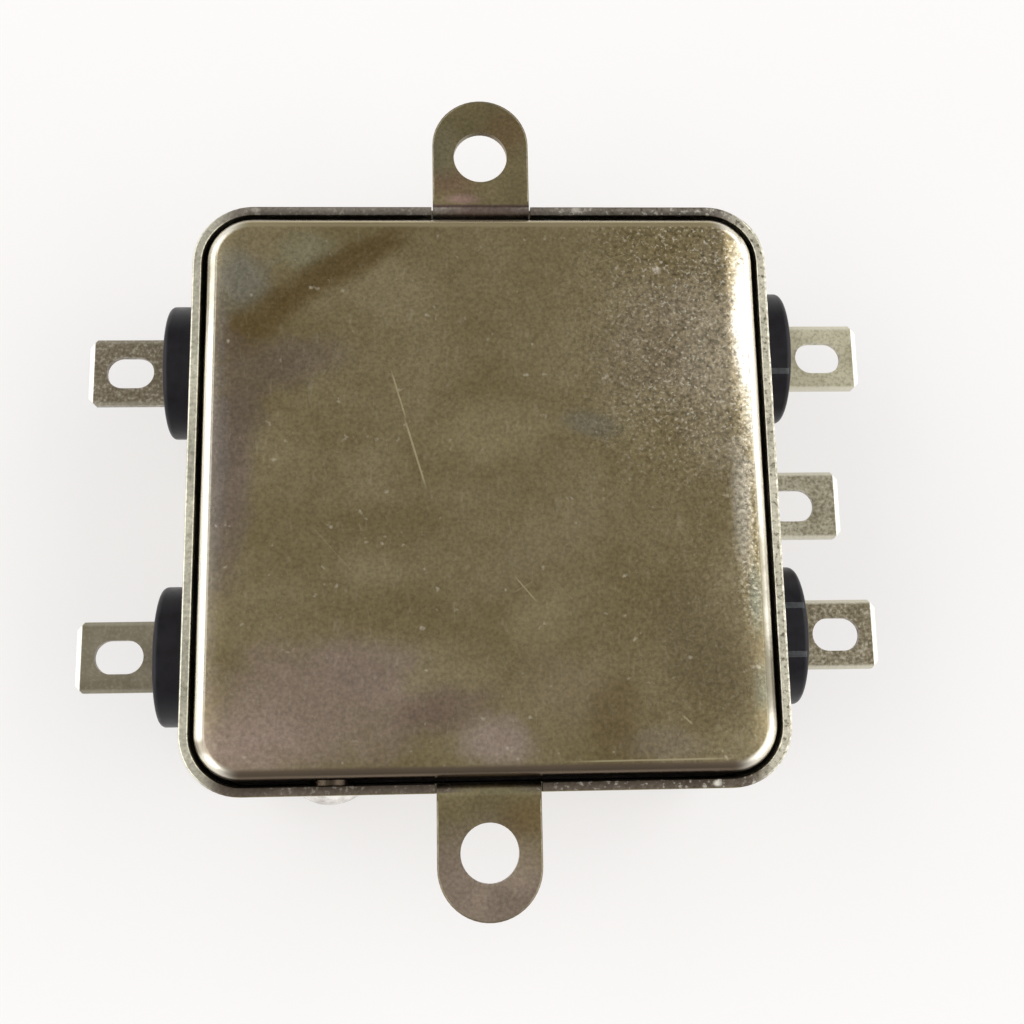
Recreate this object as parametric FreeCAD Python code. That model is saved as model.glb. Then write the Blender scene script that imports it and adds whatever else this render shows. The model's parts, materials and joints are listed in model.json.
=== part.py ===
"""A chassis-mount power-line filter: a drawn steel can with two bent ears, a nested pan cover,
four insulated feed-through tabs, an earth tab, and the filter circuit inside.

Millimetres. Origin: middle of the can's closed face. +Z: towards the cover. +Y: along the ears.
+X: from the pair of tabs on its own to the side that also has the earth tab.
"""
import FreeCAD, Part
import math
import os

V = FreeCAD.Vector
X_AXIS = V(1, 0, 0)
Y_AXIS = V(0, 1, 0)
Z_AXIS = V(0, 0, 1)
CUT = 1.0                  # cutting tools run this far past what they cut

# The can
CAN_SIZE = 50.8            # outside width and length of the square can
CAN_HEIGHT = 24.0          # closed face to open rim
CAN_SHEET = 0.8            # drawn steel sheet
CAN_CORNER_R = 5.2         # outside radius of the upright corners
CAN_BASE_R = 2.0           # outside radius round the closed face
RIM_R = 0.15               # broken edge along the sheared rim

# The ears
EAR_HOLE_OUT = 4.75        # can wall to the middle of the ear hole
EAR_HOLE_D = 4.8
EAR_WIDTH = 8.6
EAR_END = 5.4              # hole centre to the tip of the ear
EAR_UNDER_R = 0.5          # inside radius of the bend, under the ear
EAR_BEND_R = 0.8           # outside radius of the bend, along the rim's inner edge
RELIEF_WIDTH = 0.12        # notch beside each bend
RELIEF_DEPTH = 1.0

# The cover
COVER_GAP = 0.45           # all round, between the cover and the can wall
COVER_SHEET = 0.6
COVER_PROUD = 0.8          # cover face above the rim
COVER_EDGE_R = 1.0         # outside radius round the cover's face

# The feed-through terminals
TAB_BELOW_RIM = 12.0       # rim to the middle of the tabs
TERMINAL_PITCH = 26.4      # the two tabs of a pair
LEFT_ROW_Y = 0.0           # middle of the left pair
RIGHT_ROW_Y = 1.15         # middle of the right pair
TAB_WIDTH = 6.3
TAB_SHEET = 0.8
TAB_CORNER = 0.7           # cut across each corner of the tip
TAB_BEVEL = 0.2            # lead-in taken off each face at the tip
TAB_BEVEL_LENGTH = 0.45
TAB_SLOT_LENGTH = 4.4
TAB_SLOT_WIDTH = 3.0
TAB_SLOT_INSET = 1.6       # tip to the slot
TAB_SLOT_OUT = 1.7         # flange of the bushing to the slot
SHOULDER_WIDTH = 7.6       # step that stops the tab against its washer
SHOULDER_LENGTH = 1.4
TAIL_WIDTH = 3.0           # soldering tail inside the can
TAIL_LENGTH = 5.6
BUSHING_D = 12.5
BUSHING_PROUD = 3.4
BUSHING_EDGE_R = 0.5
NECK_D = 8.6
NECK_FIT = 0.1             # radial, neck in the wall holes
BLADE_FIT = 0.05           # each side of a tab in its insulators
WASHER_D = 10.0
WASHER_THICK = 1.5

# The earth tab, on the wall between the right pair
EARTH_TAB_Y = 0.0
EARTH_FOOT = 5.4           # height of the foot welded to the wall
EARTH_BEND_R = 0.4         # inside radius of its bend
EARTH_SLOT_OUT = 0.4       # end of the bend to the slot
EARTH_SLOT_INSET = 2.4     # tip to the slot

# The earth rivet through the can wall, the cover skirt and the lug
RIVET_X = -13.2
RIVET_D = 2.4
RIVET_FIT = 0.05           # radial
RIVET_HEAD_D = 5.0
RIVET_HEAD_H = 0.85
RIVET_TAIL_D = 3.8
RIVET_TAIL_H = 0.7
BOSS_D = 3.6               # pad on the skirt that meets the can wall
LUG_SHEET = 0.5
LUG_WIDTH = 4.2
LUG_LENGTH = 5.6
LUG_HOLE_D = 1.5
LUG_HOLE_INSET = 1.5       # end of the shelf to the middle of its hole

# The insulating tray
TRAY_FIT = 0.1             # between the tray and the can wall
TRAY_FLOOR = 1.0
TRAY_OVER = 0.9            # tray wall above the holes for the necks
BOSS_OVER_TRAY = 0.1       # tray edge to the pad on the skirt

# The choke
PAD_THICK = 1.0
PAD_MARGIN = 1.2           # pad beyond the winding
CORE_OUTER_D = 20.0
CORE_INNER_D = 11.0
CORE_HEIGHT = 8.0
CORE_EDGE = 0.9            # bevel round the core's edges
CHOKE_WIRE_D = 0.9
TURNS = 8
TURN_STEP = 17.0           # degrees
WIND_CHAMFER = 0.7         # cut across each corner of a turn
DIVIDER_SHEET = 0.8

# The capacitors and the resistor
X_CAP_LENGTH = 17.0
X_CAP_THICK = 6.0
X_CAP_HEIGHT = 11.0
X_CAP_EDGE_R = 0.4
X_CAP_LEAD_PITCH = 15.0
X_CAP_LEAD_D = 0.8
X_CAP_FROM_WALL = 1.75     # tray wall to the capacitor
Y_CAP_D = 8.0
Y_CAP_THICK = 3.5
Y_CAP_EDGE = 1.0           # bevel round the coating
Y_CAP_SPACING = 11.0
Y_CAP_LEAD_PITCH = 5.0
Y_CAP_LEAD_D = 0.6
Y_CAP_LEAD_IN = 0.5        # lead inside the coating
RESISTOR_D = 3.2
RESISTOR_LENGTH = 9.0
RESISTOR_EDGE = 0.6
RESISTOR_LEAD_D = 0.7
LEAD_RISE = 1.4            # leads above the tails and what they leave
WIRE_STEP = 1.0            # height between wires that cross
WIRE_GAP = 0.06            # between the two wires in the lug's hole
WIRE_SPACING = 1.5         # landings of the wires along a tail

# The solder
SOLDER_HEIGHT = 1.0
SOLDER_MARGIN = 0.2
SOLDER_EDGE = 0.6
LUG_SOLDER_D = 3.0         # cone round the wires, above the shelf
LUG_SOLDER_H = 0.8
LUG_SOLDER_UNDER_D = 2.4
LUG_SOLDER_UNDER_H = 0.6

# Faces and levels that follow from the sizes
HALF = CAN_SIZE / 2
WALL_IN = HALF - CAN_SHEET
EAR_HOLE_Y = HALF + EAR_HOLE_OUT
TAB_LEVEL = CAN_HEIGHT - TAB_BELOW_RIM
TAB_TOP = TAB_LEVEL + TAB_SHEET / 2
TAB_REACH = HALF + BUSHING_PROUD + TAB_SLOT_OUT + TAB_SLOT_LENGTH + TAB_SLOT_INSET
EARTH_BEND_END = HALF + TAB_SHEET + EARTH_BEND_R
EARTH_TAB_REACH = EARTH_BEND_END + EARTH_SLOT_OUT + TAB_SLOT_LENGTH + EARTH_SLOT_INSET
COVER_HALF = WALL_IN - COVER_GAP
COVER_TOP = CAN_HEIGHT + COVER_PROUD
SKIRT_IN = COVER_HALF - COVER_SHEET
SKIRT_LOW = TAB_LEVEL + NECK_D / 2 + NECK_FIT + TRAY_OVER
FLOOR = CAN_SHEET + TRAY_FLOOR
TRAY_OUT = WALL_IN - TRAY_FIT
TRAY_IN = SKIRT_IN         # flush with the skirt that the tray carries
TRAY_WALL = TRAY_OUT - TRAY_IN
WASHER_IN = TRAY_IN - WASHER_THICK
TAIL_OUT = WASHER_IN - SHOULDER_LENGTH
TAIL_IN = TAIL_OUT - TAIL_LENGTH
RIVET_Z = SKIRT_LOW + BOSS_OVER_TRAY + BOSS_D / 2
LUG_LOW = TAB_TOP - LUG_SHEET
LUG_LAND = LUG_LENGTH - SKIRT_IN - LUG_HOLE_INSET
WIND_LOW = FLOOR + PAD_THICK + CHOKE_WIRE_D / 2
CORE_LOW = FLOOR + PAD_THICK + CHOKE_WIRE_D
WIND_HIGH = CORE_LOW + CORE_HEIGHT + CHOKE_WIRE_D / 2
WIND_IN = CORE_INNER_D / 2 - CHOKE_WIRE_D / 2
WIND_OUT = CORE_OUTER_D / 2 + CHOKE_WIRE_D / 2
X_CAP_MID = TRAY_IN - X_CAP_FROM_WALL - X_CAP_THICK / 2
X_CAP_TOP = FLOOR + X_CAP_HEIGHT
LAND_SMALL = X_CAP_MID - WIRE_SPACING
LAND_CHOKE = X_CAP_MID - 2 * WIRE_SPACING

# Levels at which the wires run, each above both the tails and the piece it leaves
CHOKE_LEAD_LEVEL = max(TAB_TOP, WIND_HIGH) + LEAD_RISE
X_LEAD_LEVEL = max(TAB_TOP, X_CAP_TOP) + LEAD_RISE
Y_LEAD_LEVEL = CHOKE_LEAD_LEVEL + CHOKE_WIRE_D + Y_CAP_LEAD_D
RESISTOR_LEVEL = X_CAP_TOP + RESISTOR_D / 2
RESISTOR_LEAD_LEVEL = max(TAB_TOP + RESISTOR_LEAD_D, RESISTOR_LEVEL)

# Middles of the four tabs along Y, then each one's name and side of the can (+1 right)
LEFT_UPPER_Y = LEFT_ROW_Y + TERMINAL_PITCH / 2
LEFT_LOWER_Y = LEFT_ROW_Y - TERMINAL_PITCH / 2
RIGHT_UPPER_Y = RIGHT_ROW_Y + TERMINAL_PITCH / 2
RIGHT_LOWER_Y = RIGHT_ROW_Y - TERMINAL_PITCH / 2
TERMINALS = (
    ("left_upper", -1, LEFT_UPPER_Y),
    ("left_lower", -1, LEFT_LOWER_Y),
    ("right_upper", 1, RIGHT_UPPER_Y),
    ("right_lower", 1, RIGHT_LOWER_Y),
)


def prism(half_x, half_y, radius, low, high):
    """Upright block with rounded corners, centred on the Z axis."""
    a = half_x - radius
    b = half_y - radius
    turn = math.sqrt(0.5) * radius
    edges = []
    for sx, sy, start, end in (
        (1, 1, (half_x, b), (a, half_y)),
        (-1, 1, (-a, half_y), (-half_x, b)),
        (-1, -1, (-half_x, -b), (-a, -half_y)),
        (1, -1, (a, -half_y), (half_x, -b)),
    ):
        middle = (sx * (a + turn), sy * (b + turn))
        points = [V(p[0], p[1], low) for p in (start, middle, end)]
        edges.append(Part.Arc(*points).toShape())
    ring = []
    for i, arc in enumerate(edges):
        following = edges[(i + 1) % 4]
        ring.append(arc)
        ring.append(Part.makeLine(arc.lastVertex(True).Point, following.firstVertex(True).Point))
    return Part.Face(Part.Wire(ring)).extrude(V(0, 0, high - low))


def edges_at(shape, level):
    """Every edge of the shape that lies in one horizontal plane."""
    found = []
    for edge in shape.Edges:
        box = edge.BoundBox
        if abs(box.ZMin - level) < 1e-6 and abs(box.ZMax - level) < 1e-6:
            found.append(edge)
    return found


def round_edges(shape):
    """Every closed, ring-like edge of the shape."""
    return [edge for edge in shape.Edges if edge.Closed]


def block(x0, x1, y0, y1, z0, z1):
    """Plain box between two corners."""
    return Part.makeBox(x1 - x0, y1 - y0, z1 - z0, V(x0, y0, z0))


def rod(radius, start, direction, length):
    """Round bar."""
    return Part.makeCylinder(radius, length, start, direction)


def slab(points, low, high):
    """Flat plate from an outline in the XY plane."""
    closed = [V(x, y, low) for x, y in points + [points[0]]]
    return Part.Face(Part.makePolygon(closed)).extrude(V(0, 0, high - low))


def stadium(x0, x1, mid_y, width, low, high):
    """Slot-shaped plug with full round ends, along X."""
    r = width / 2
    body = block(x0 + r, x1 - r, mid_y - r, mid_y + r, low, high)
    ends = [rod(r, V(x, mid_y, low), Z_AXIS, high - low) for x in (x0 + r, x1 - r)]
    return body.multiFuse(ends).removeSplitter()


def dome(diameter, height, base, direction):
    """Low round rivet head standing on a point."""
    r = diameter / 2
    ball_r = (r * r + height * height) / (2 * height)
    centre = base + direction * (height - ball_r)
    ball = Part.makeSphere(ball_r, centre)
    return ball.common(rod(ball_r + CUT, base, direction, height + CUT))


def turned(shape, side):
    """The same piece on the right (+1) or, turned half way round, on the left (-1)."""
    if side > 0:
        return shape
    copy = shape.copy()
    copy.rotate(V(0, 0, 0), Z_AXIS, 180)
    return copy


def wire_solid(points, diameter):
    """Round wire along straight runs, mitred where it bends."""
    path = Part.makePolygon([V(*p) for p in points])
    start = V(*points[0])
    ahead = V(*points[1]) - start
    ring = Part.Wire(Part.makeCircle(diameter / 2, start, ahead))
    return path.makePipeShell([ring], True, False, 1)


# The can and its ears

def can_shell():
    """Drawn square cup, open at the rim."""
    outside = prism(HALF, HALF, CAN_CORNER_R, 0, CAN_HEIGHT)
    outside = outside.makeFillet(CAN_BASE_R, edges_at(outside, 0))
    inner_r = CAN_CORNER_R - CAN_SHEET
    inside = prism(WALL_IN, WALL_IN, inner_r, CAN_SHEET, CAN_HEIGHT + CUT)
    inside = inside.makeFillet(CAN_BASE_R - CAN_SHEET, edges_at(inside, CAN_SHEET))
    shell = outside.cut(inside)
    return shell.makeFillet(RIM_R, edges_at(shell, CAN_HEIGHT))


def ear_blank():
    """Flat of one ear (+Y side), with its round end, in the plane of the rim."""
    half = EAR_WIDTH / 2
    end_mid = EAR_HOLE_Y + EAR_END - half
    low = CAN_HEIGHT - CAN_SHEET
    plate = block(-half, half, WALL_IN, end_mid, low, CAN_HEIGHT)
    plate = plate.fuse(rod(half, V(0, end_mid, low), Z_AXIS, CAN_SHEET))
    return plate.removeSplitter()


def ear_bend_fill():
    """Metal in the inside of the bend, between the wall and the underside of the ear."""
    r = EAR_UNDER_R
    low = CAN_HEIGHT - CAN_SHEET
    corner = block(-EAR_WIDTH / 2, EAR_WIDTH / 2, HALF, HALF + r, low - r, low)
    hollow = rod(r, V(-EAR_WIDTH, HALF + r, low - r), X_AXIS, 2 * EAR_WIDTH)
    return corner.cut(hollow)


def ear_bend_nose():
    """What the outside radius of the bend takes off the rim's inner edge."""
    r = EAR_BEND_R
    half = EAR_WIDTH / 2
    corner = block(-half, half, WALL_IN - CUT, WALL_IN + r, CAN_HEIGHT - r, CAN_HEIGHT + CUT)
    keep = rod(r, V(-half, WALL_IN + r, CAN_HEIGHT - r), X_AXIS, EAR_WIDTH)
    return corner.cut(keep)


def ear_reliefs():
    """Notches through the wall on both sides of the bend."""
    half = EAR_WIDTH / 2
    low = CAN_HEIGHT - RELIEF_DEPTH
    notches = []
    for x0 in (-half - RELIEF_WIDTH, half):
        notches.append(block(x0, x0 + RELIEF_WIDTH, WALL_IN - CUT, HALF + CUT, low, CAN_HEIGHT + CUT))
    return notches


def neck_hole(side, y, wall_in, wall):
    """Tool for the hole that a terminal's neck passes, through one wall."""
    start = V(side * (wall_in - CUT), y, TAB_LEVEL)
    return rod(NECK_D / 2 + NECK_FIT, start, X_AXIS * side, wall + 2 * CUT)


def rivet_hole(start_y, length):
    """Tool for the hole that the earth rivet passes, through one sheet."""
    start = V(RIVET_X, start_y - CUT, RIVET_Z)
    return rod(RIVET_D / 2 + RIVET_FIT, start, Y_AXIS, length + 2 * CUT)


def can():
    """Cup with both ears bent out of its rim, and the holes in its walls."""
    body = can_shell()
    hole = rod(EAR_HOLE_D / 2, V(0, EAR_HOLE_Y, CAN_HEIGHT - CAN_SHEET - CUT), Z_AXIS, CAN_SHEET + 2 * CUT)
    for side in (1, -1):
        ear = ear_blank().fuse(ear_bend_fill())
        body = body.fuse(turned(ear, side))
        for tool in ear_reliefs() + [ear_bend_nose(), hole]:
            body = body.cut(turned(tool, side))
    for name, side, y in TERMINALS:
        body = body.cut(neck_hole(side, y, WALL_IN, CAN_SHEET))
    return body.cut(rivet_hole(-HALF, CAN_SHEET)).removeSplitter()


# The cover

def cover():
    """Shallow drawn pan, face up, with a pad where the earth rivet passes."""
    outer_r = CAN_CORNER_R - CAN_SHEET - COVER_GAP
    outside = prism(COVER_HALF, COVER_HALF, outer_r, SKIRT_LOW, COVER_TOP)
    outside = outside.makeFillet(COVER_EDGE_R, edges_at(outside, COVER_TOP))
    ceiling = COVER_TOP - COVER_SHEET
    inside = prism(SKIRT_IN, SKIRT_IN, outer_r - COVER_SHEET, SKIRT_LOW - CUT, ceiling)
    inside = inside.makeFillet(COVER_EDGE_R - COVER_SHEET, edges_at(inside, ceiling))
    pan = outside.cut(inside)
    boss = rod(BOSS_D / 2, V(RIVET_X, -WALL_IN, RIVET_Z), Y_AXIS, COVER_GAP + COVER_SHEET / 2)
    return pan.fuse(boss).cut(rivet_hole(-WALL_IN, COVER_GAP + COVER_SHEET))


# The terminals

def tip_cuts(reach, mid_y):
    """What the corner cuts and the lead-in bevels take off the tip of a tab at +X."""
    half = TAB_WIDTH / 2
    past = reach + CUT
    cuts = []
    for s in (1, -1):
        corner = [(reach - TAB_CORNER, mid_y + s * half), (past, mid_y + s * half),
                  (past, mid_y + s * (half - TAB_CORNER - CUT))]
        cuts.append(slab(corner, TAB_LEVEL - TAB_SHEET, TAB_LEVEL + TAB_SHEET))
        face = TAB_LEVEL + s * TAB_SHEET / 2
        slope = TAB_BEVEL / TAB_BEVEL_LENGTH
        wedge = [V(reach - TAB_BEVEL_LENGTH, mid_y - TAB_WIDTH, face),
                 V(past, mid_y - TAB_WIDTH, face - s * slope * (TAB_BEVEL_LENGTH + CUT)),
                 V(past, mid_y - TAB_WIDTH, face)]
        side = Part.Face(Part.makePolygon(wedge + [wedge[0]]))
        cuts.append(side.extrude(V(0, 2 * TAB_WIDTH, 0)))
    return cuts


def tab_slot(reach, inset, mid_y):
    """Oblong opening in a tab at +X."""
    end = reach - inset
    low = TAB_LEVEL - TAB_SHEET
    return stadium(end - TAB_SLOT_LENGTH, end, mid_y, TAB_SLOT_WIDTH, low, low + 2 * TAB_SHEET)


def terminal_tab(side, y):
    """Stamped tab: slotted blade outside, shoulders and soldering tail inside."""
    y = side * y
    low = TAB_LEVEL - TAB_SHEET / 2
    blade = block(WASHER_IN, TAB_REACH, y - TAB_WIDTH / 2, y + TAB_WIDTH / 2, low, TAB_TOP)
    step = block(TAIL_OUT, WASHER_IN, y - SHOULDER_WIDTH / 2, y + SHOULDER_WIDTH / 2, low, TAB_TOP)
    tail = block(TAIL_IN, TAIL_OUT, y - TAIL_WIDTH / 2, y + TAIL_WIDTH / 2, low, TAB_TOP)
    tab = blade.multiFuse([step, tail]).removeSplitter()
    for tool in tip_cuts(TAB_REACH, y) + [tab_slot(TAB_REACH, TAB_SLOT_INSET, y)]:
        tab = tab.cut(tool)
    return turned(tab, side)


def blade_hole(side, y):
    """Opening for a tab through its insulators."""
    a = TAB_WIDTH / 2 + BLADE_FIT
    b = TAB_SHEET / 2 + BLADE_FIT
    y = side * y
    hole = block(WASHER_IN - CUT, HALF + BUSHING_PROUD + CUT, y - a, y + a, TAB_LEVEL - b, TAB_LEVEL + b)
    return turned(hole, side)


def bushing(side, y):
    """Moulded insulator: round flange outside the wall, neck through the wall and the tray."""
    start = V(side * HALF, y, TAB_LEVEL)
    flange = rod(BUSHING_D / 2, start, X_AXIS * side, BUSHING_PROUD)
    middle = HALF + BUSHING_PROUD / 2
    outer = [e for e in round_edges(flange) if abs(e.CenterOfMass.x) > middle]
    flange = flange.makeFillet(BUSHING_EDGE_R, outer)
    neck = rod(NECK_D / 2, V(side * TRAY_IN, y, TAB_LEVEL), X_AXIS * side, HALF - TRAY_IN)
    return flange.fuse(neck).cut(blade_hole(side, y))


def washer(side, y):
    """Insulating washer inside the tray, held by the tab's shoulders."""
    disc = rod(WASHER_D / 2, V(side * WASHER_IN, y, TAB_LEVEL), X_AXIS * side, WASHER_THICK)
    return disc.cut(blade_hole(side, y))


def earth_tab():
    """Slotted tab bent down into a foot that is welded flat on the can wall."""
    y0 = EARTH_TAB_Y - TAB_WIDTH / 2
    y1 = EARTH_TAB_Y + TAB_WIDTH / 2
    low = TAB_LEVEL - TAB_SHEET / 2
    inside = EARTH_BEND_R
    outside = EARTH_BEND_R + TAB_SHEET
    over = TAB_WIDTH + 2 * CUT
    foot = block(HALF, HALF + TAB_SHEET, y0, y1, low - EARTH_FOOT, TAB_TOP)
    blade = block(HALF, EARTH_TAB_REACH, y0, y1, low, TAB_TOP)
    fill = block(HALF + TAB_SHEET, EARTH_BEND_END, y0, y1, low - inside, low)
    fill = fill.cut(rod(inside, V(EARTH_BEND_END, y0 - CUT, low - inside), Y_AXIS, over))
    tab = foot.multiFuse([blade, fill]).removeSplitter()
    heel = block(HALF - CUT, EARTH_BEND_END, y0 - CUT, y1 + CUT, TAB_TOP - outside, TAB_TOP + CUT)
    round_heel = rod(outside, V(EARTH_BEND_END, y0 - CUT, TAB_TOP - outside), Y_AXIS, over)
    tab = tab.cut(heel.cut(round_heel))
    for tool in tip_cuts(EARTH_TAB_REACH, EARTH_TAB_Y):
        tab = tab.cut(tool)
    return tab.cut(tab_slot(EARTH_TAB_REACH, EARTH_SLOT_INSET, EARTH_TAB_Y))


# The earth rivet and its lug

def earth_rivet():
    """Round-headed rivet through the can wall, the cover's skirt and the lug."""
    reach = HALF - SKIRT_IN + LUG_SHEET
    head_base = V(RIVET_X, -HALF, RIVET_Z)
    shank = rod(RIVET_D / 2, head_base, Y_AXIS, reach)
    head = dome(RIVET_HEAD_D, RIVET_HEAD_H, head_base, -Y_AXIS)
    tail = dome(RIVET_TAIL_D, RIVET_TAIL_H, head_base + Y_AXIS * reach, Y_AXIS)
    return shank.multiFuse([head, tail]).removeSplitter()


def earth_lug():
    """Soldering lug inside the skirt, bent into a shelf level with the tails."""
    half = LUG_WIDTH / 2
    foot = -SKIRT_IN
    low = LUG_LOW
    plate = block(RIVET_X - half, RIVET_X + half, foot, foot + LUG_SHEET, low, RIVET_Z)
    eye = rod(half, V(RIVET_X, foot, RIVET_Z), Y_AXIS, LUG_SHEET)
    shelf = block(RIVET_X - half, RIVET_X + half, foot, foot + LUG_LENGTH, low, low + LUG_SHEET)
    lug = plate.multiFuse([eye, shelf]).removeSplitter()
    lug = lug.cut(rivet_hole(foot, LUG_SHEET))
    hole = rod(LUG_HOLE_D / 2, V(RIVET_X, LUG_LAND, low - CUT), Z_AXIS, LUG_SHEET + 2 * CUT)
    return lug.cut(hole)


# The tray

def tray():
    """Insulating tray that lines the can and carries the cover's skirt on its edge."""
    corner = CAN_CORNER_R - CAN_SHEET - TRAY_FIT
    outside = prism(TRAY_OUT, TRAY_OUT, corner, CAN_SHEET, SKIRT_LOW)
    outside = outside.makeFillet(CAN_BASE_R - CAN_SHEET, edges_at(outside, CAN_SHEET))
    body = outside.cut(prism(TRAY_IN, TRAY_IN, corner - TRAY_WALL, FLOOR, SKIRT_LOW + CUT))
    for name, side, y in TERMINALS:
        body = body.cut(neck_hole(side, y, TRAY_IN, TRAY_WALL))
    return body


# The choke

def choke_pad():
    """Fibre disc under the choke."""
    radius = WIND_OUT + CHOKE_WIRE_D / 2 + PAD_MARGIN
    return rod(radius, V(0, 0, FLOOR), Z_AXIS, PAD_THICK)


def choke_core():
    """Ferrite ring with bevelled edges."""
    ring = rod(CORE_OUTER_D / 2, V(0, 0, CORE_LOW), Z_AXIS, CORE_HEIGHT)
    bore = rod(CORE_INNER_D / 2, V(0, 0, CORE_LOW - CUT), Z_AXIS, CORE_HEIGHT + 2 * CUT)
    ring = ring.cut(bore)
    return ring.makeChamfer(CORE_EDGE, round_edges(ring))


def core_divider():
    """Insulating plate in the bore, between the two windings."""
    half = DIVIDER_SHEET / 2
    reach = math.sqrt((CORE_INNER_D / 2) ** 2 - half ** 2)
    return block(-reach, reach, -half, half, FLOOR + PAD_THICK, CORE_LOW + CORE_HEIGHT)


def around(radius, degrees, z):
    """Point on a circle round the choke's axis."""
    a = math.radians(degrees)
    return (radius * math.cos(a), radius * math.sin(a), z)


def winding_points(half_turn, land_start, land_end):
    """Path of one winding: from a tail, round and round the core's section, to the other tail."""
    span = TURNS * TURN_STEP
    first = 90 + half_turn - span / 2
    c = WIND_CHAMFER
    lift = CHOKE_LEAD_LEVEL
    points = [(land_start[0], land_start[1], TAB_TOP), (land_start[0], land_start[1], lift)]
    points.append(around(WIND_OUT, first, lift))
    for turn in range(TURNS):
        a = first + turn * TURN_STEP
        b = a + TURN_STEP / 2
        d = a + TURN_STEP
        if turn > 0:
            points.append(around(WIND_OUT, a, WIND_HIGH - c))
        points.append(around(WIND_OUT, a, WIND_LOW + c))
        points.append(around(WIND_OUT - c, a, WIND_LOW))
        points.append(around(WIND_IN + c, b, WIND_LOW))
        points.append(around(WIND_IN, b, WIND_LOW + c))
        points.append(around(WIND_IN, b, WIND_HIGH - c))
        points.append(around(WIND_IN + c, b, WIND_HIGH))
        points.append(around(WIND_OUT - c, d, WIND_HIGH))
    last = first + span
    points.append(around(WIND_OUT + CHOKE_WIRE_D, last, lift))
    points.append((land_end[0], land_end[1], lift))
    points.append((land_end[0], land_end[1], TAB_TOP))
    return points


def winding(upper):
    """One of the two windings, with its ends on the tails it joins."""
    if upper:
        points = winding_points(0, (LAND_CHOKE, RIGHT_UPPER_Y), (-LAND_CHOKE, LEFT_UPPER_Y))
    else:
        points = winding_points(180, (-LAND_CHOKE, LEFT_LOWER_Y), (LAND_CHOKE, RIGHT_LOWER_Y))
    return wire_solid(points, CHOKE_WIRE_D)


# The capacitors and the resistor

def row_y(side):
    """Middle of the pair of tabs on one side."""
    return LEFT_ROW_Y if side < 0 else RIGHT_ROW_Y


def x_capacitor(side):
    """Box film capacitor between the tails of one side."""
    mid = side * X_CAP_MID
    half = X_CAP_THICK / 2
    low_y = row_y(side) - X_CAP_LENGTH / 2
    body = block(mid - half, mid + half, low_y, low_y + X_CAP_LENGTH, FLOOR, X_CAP_TOP)
    upright = [e for e in body.Edges if abs(e.BoundBox.ZLength - X_CAP_HEIGHT) < 1e-6]
    return body.makeFillet(X_CAP_EDGE_R, upright)


def x_capacitor_leads(side):
    """Its two leads, up and over to the tails."""
    mid = side * X_CAP_MID
    high = X_LEAD_LEVEL
    leads = []
    for s in (1, -1):
        near = row_y(side) + s * X_CAP_LEAD_PITCH / 2
        far = row_y(side) + s * TERMINAL_PITCH / 2
        points = [(mid, near, X_CAP_TOP), (mid, near, high), (mid, far, high), (mid, far, TAB_TOP)]
        leads.append(wire_solid(points, X_CAP_LEAD_D))
    return Part.makeCompound(leads)


def y_capacitor_mid(side):
    """Middle of one disc capacitor, in the space between the choke and the wall."""
    return V(side * Y_CAP_SPACING / 2, -(WIND_OUT + TRAY_IN) / 2, FLOOR + Y_CAP_D / 2)


def y_capacitor(side):
    """Coated ceramic disc standing on its edge."""
    mid = y_capacitor_mid(side)
    disc = rod(Y_CAP_D / 2, mid - Y_AXIS * (Y_CAP_THICK / 2), Y_AXIS, Y_CAP_THICK)
    return disc.makeChamfer(Y_CAP_EDGE, round_edges(disc))


def y_capacitor_leads(side):
    """One lead to the tail on its own side, one to the earth lug."""
    mid = y_capacitor_mid(side)
    drop = math.sqrt((Y_CAP_D / 2) ** 2 - (Y_CAP_LEAD_PITCH / 2) ** 2)
    foot = mid.z + drop - Y_CAP_LEAD_IN
    tab_y = LEFT_LOWER_Y if side < 0 else RIGHT_LOWER_Y
    outer_x = mid.x + side * Y_CAP_LEAD_PITCH / 2
    inner_x = mid.x - side * Y_CAP_LEAD_PITCH / 2
    lift = Y_LEAD_LEVEL
    land_x = side * LAND_SMALL
    land_y = tab_y - TAIL_WIDTH / 4
    to_tail = [(outer_x, mid.y, foot), (outer_x, mid.y, lift)]
    to_tail += [(land_x, land_y, lift), (land_x, land_y, TAB_TOP)]
    lug_x = RIVET_X - side * (Y_CAP_LEAD_D + WIRE_GAP) / 2
    level = lift + WIRE_STEP if side > 0 else lift
    to_lug = [(inner_x, mid.y, foot), (inner_x, mid.y, level)]
    to_lug += [(lug_x, LUG_LAND, level), (lug_x, LUG_LAND, LUG_LOW)]
    leads = [wire_solid(points, Y_CAP_LEAD_D) for points in (to_tail, to_lug)]
    return Part.makeCompound([lead.cut(y_capacitor(side)) for lead in leads])


def bleed_resistor():
    """Axial resistor lying on the left capacitor."""
    start = V(-LAND_SMALL, LEFT_ROW_Y - RESISTOR_LENGTH / 2, RESISTOR_LEVEL)
    body = rod(RESISTOR_D / 2, start, Y_AXIS, RESISTOR_LENGTH)
    return body.makeChamfer(RESISTOR_EDGE, round_edges(body))


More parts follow.
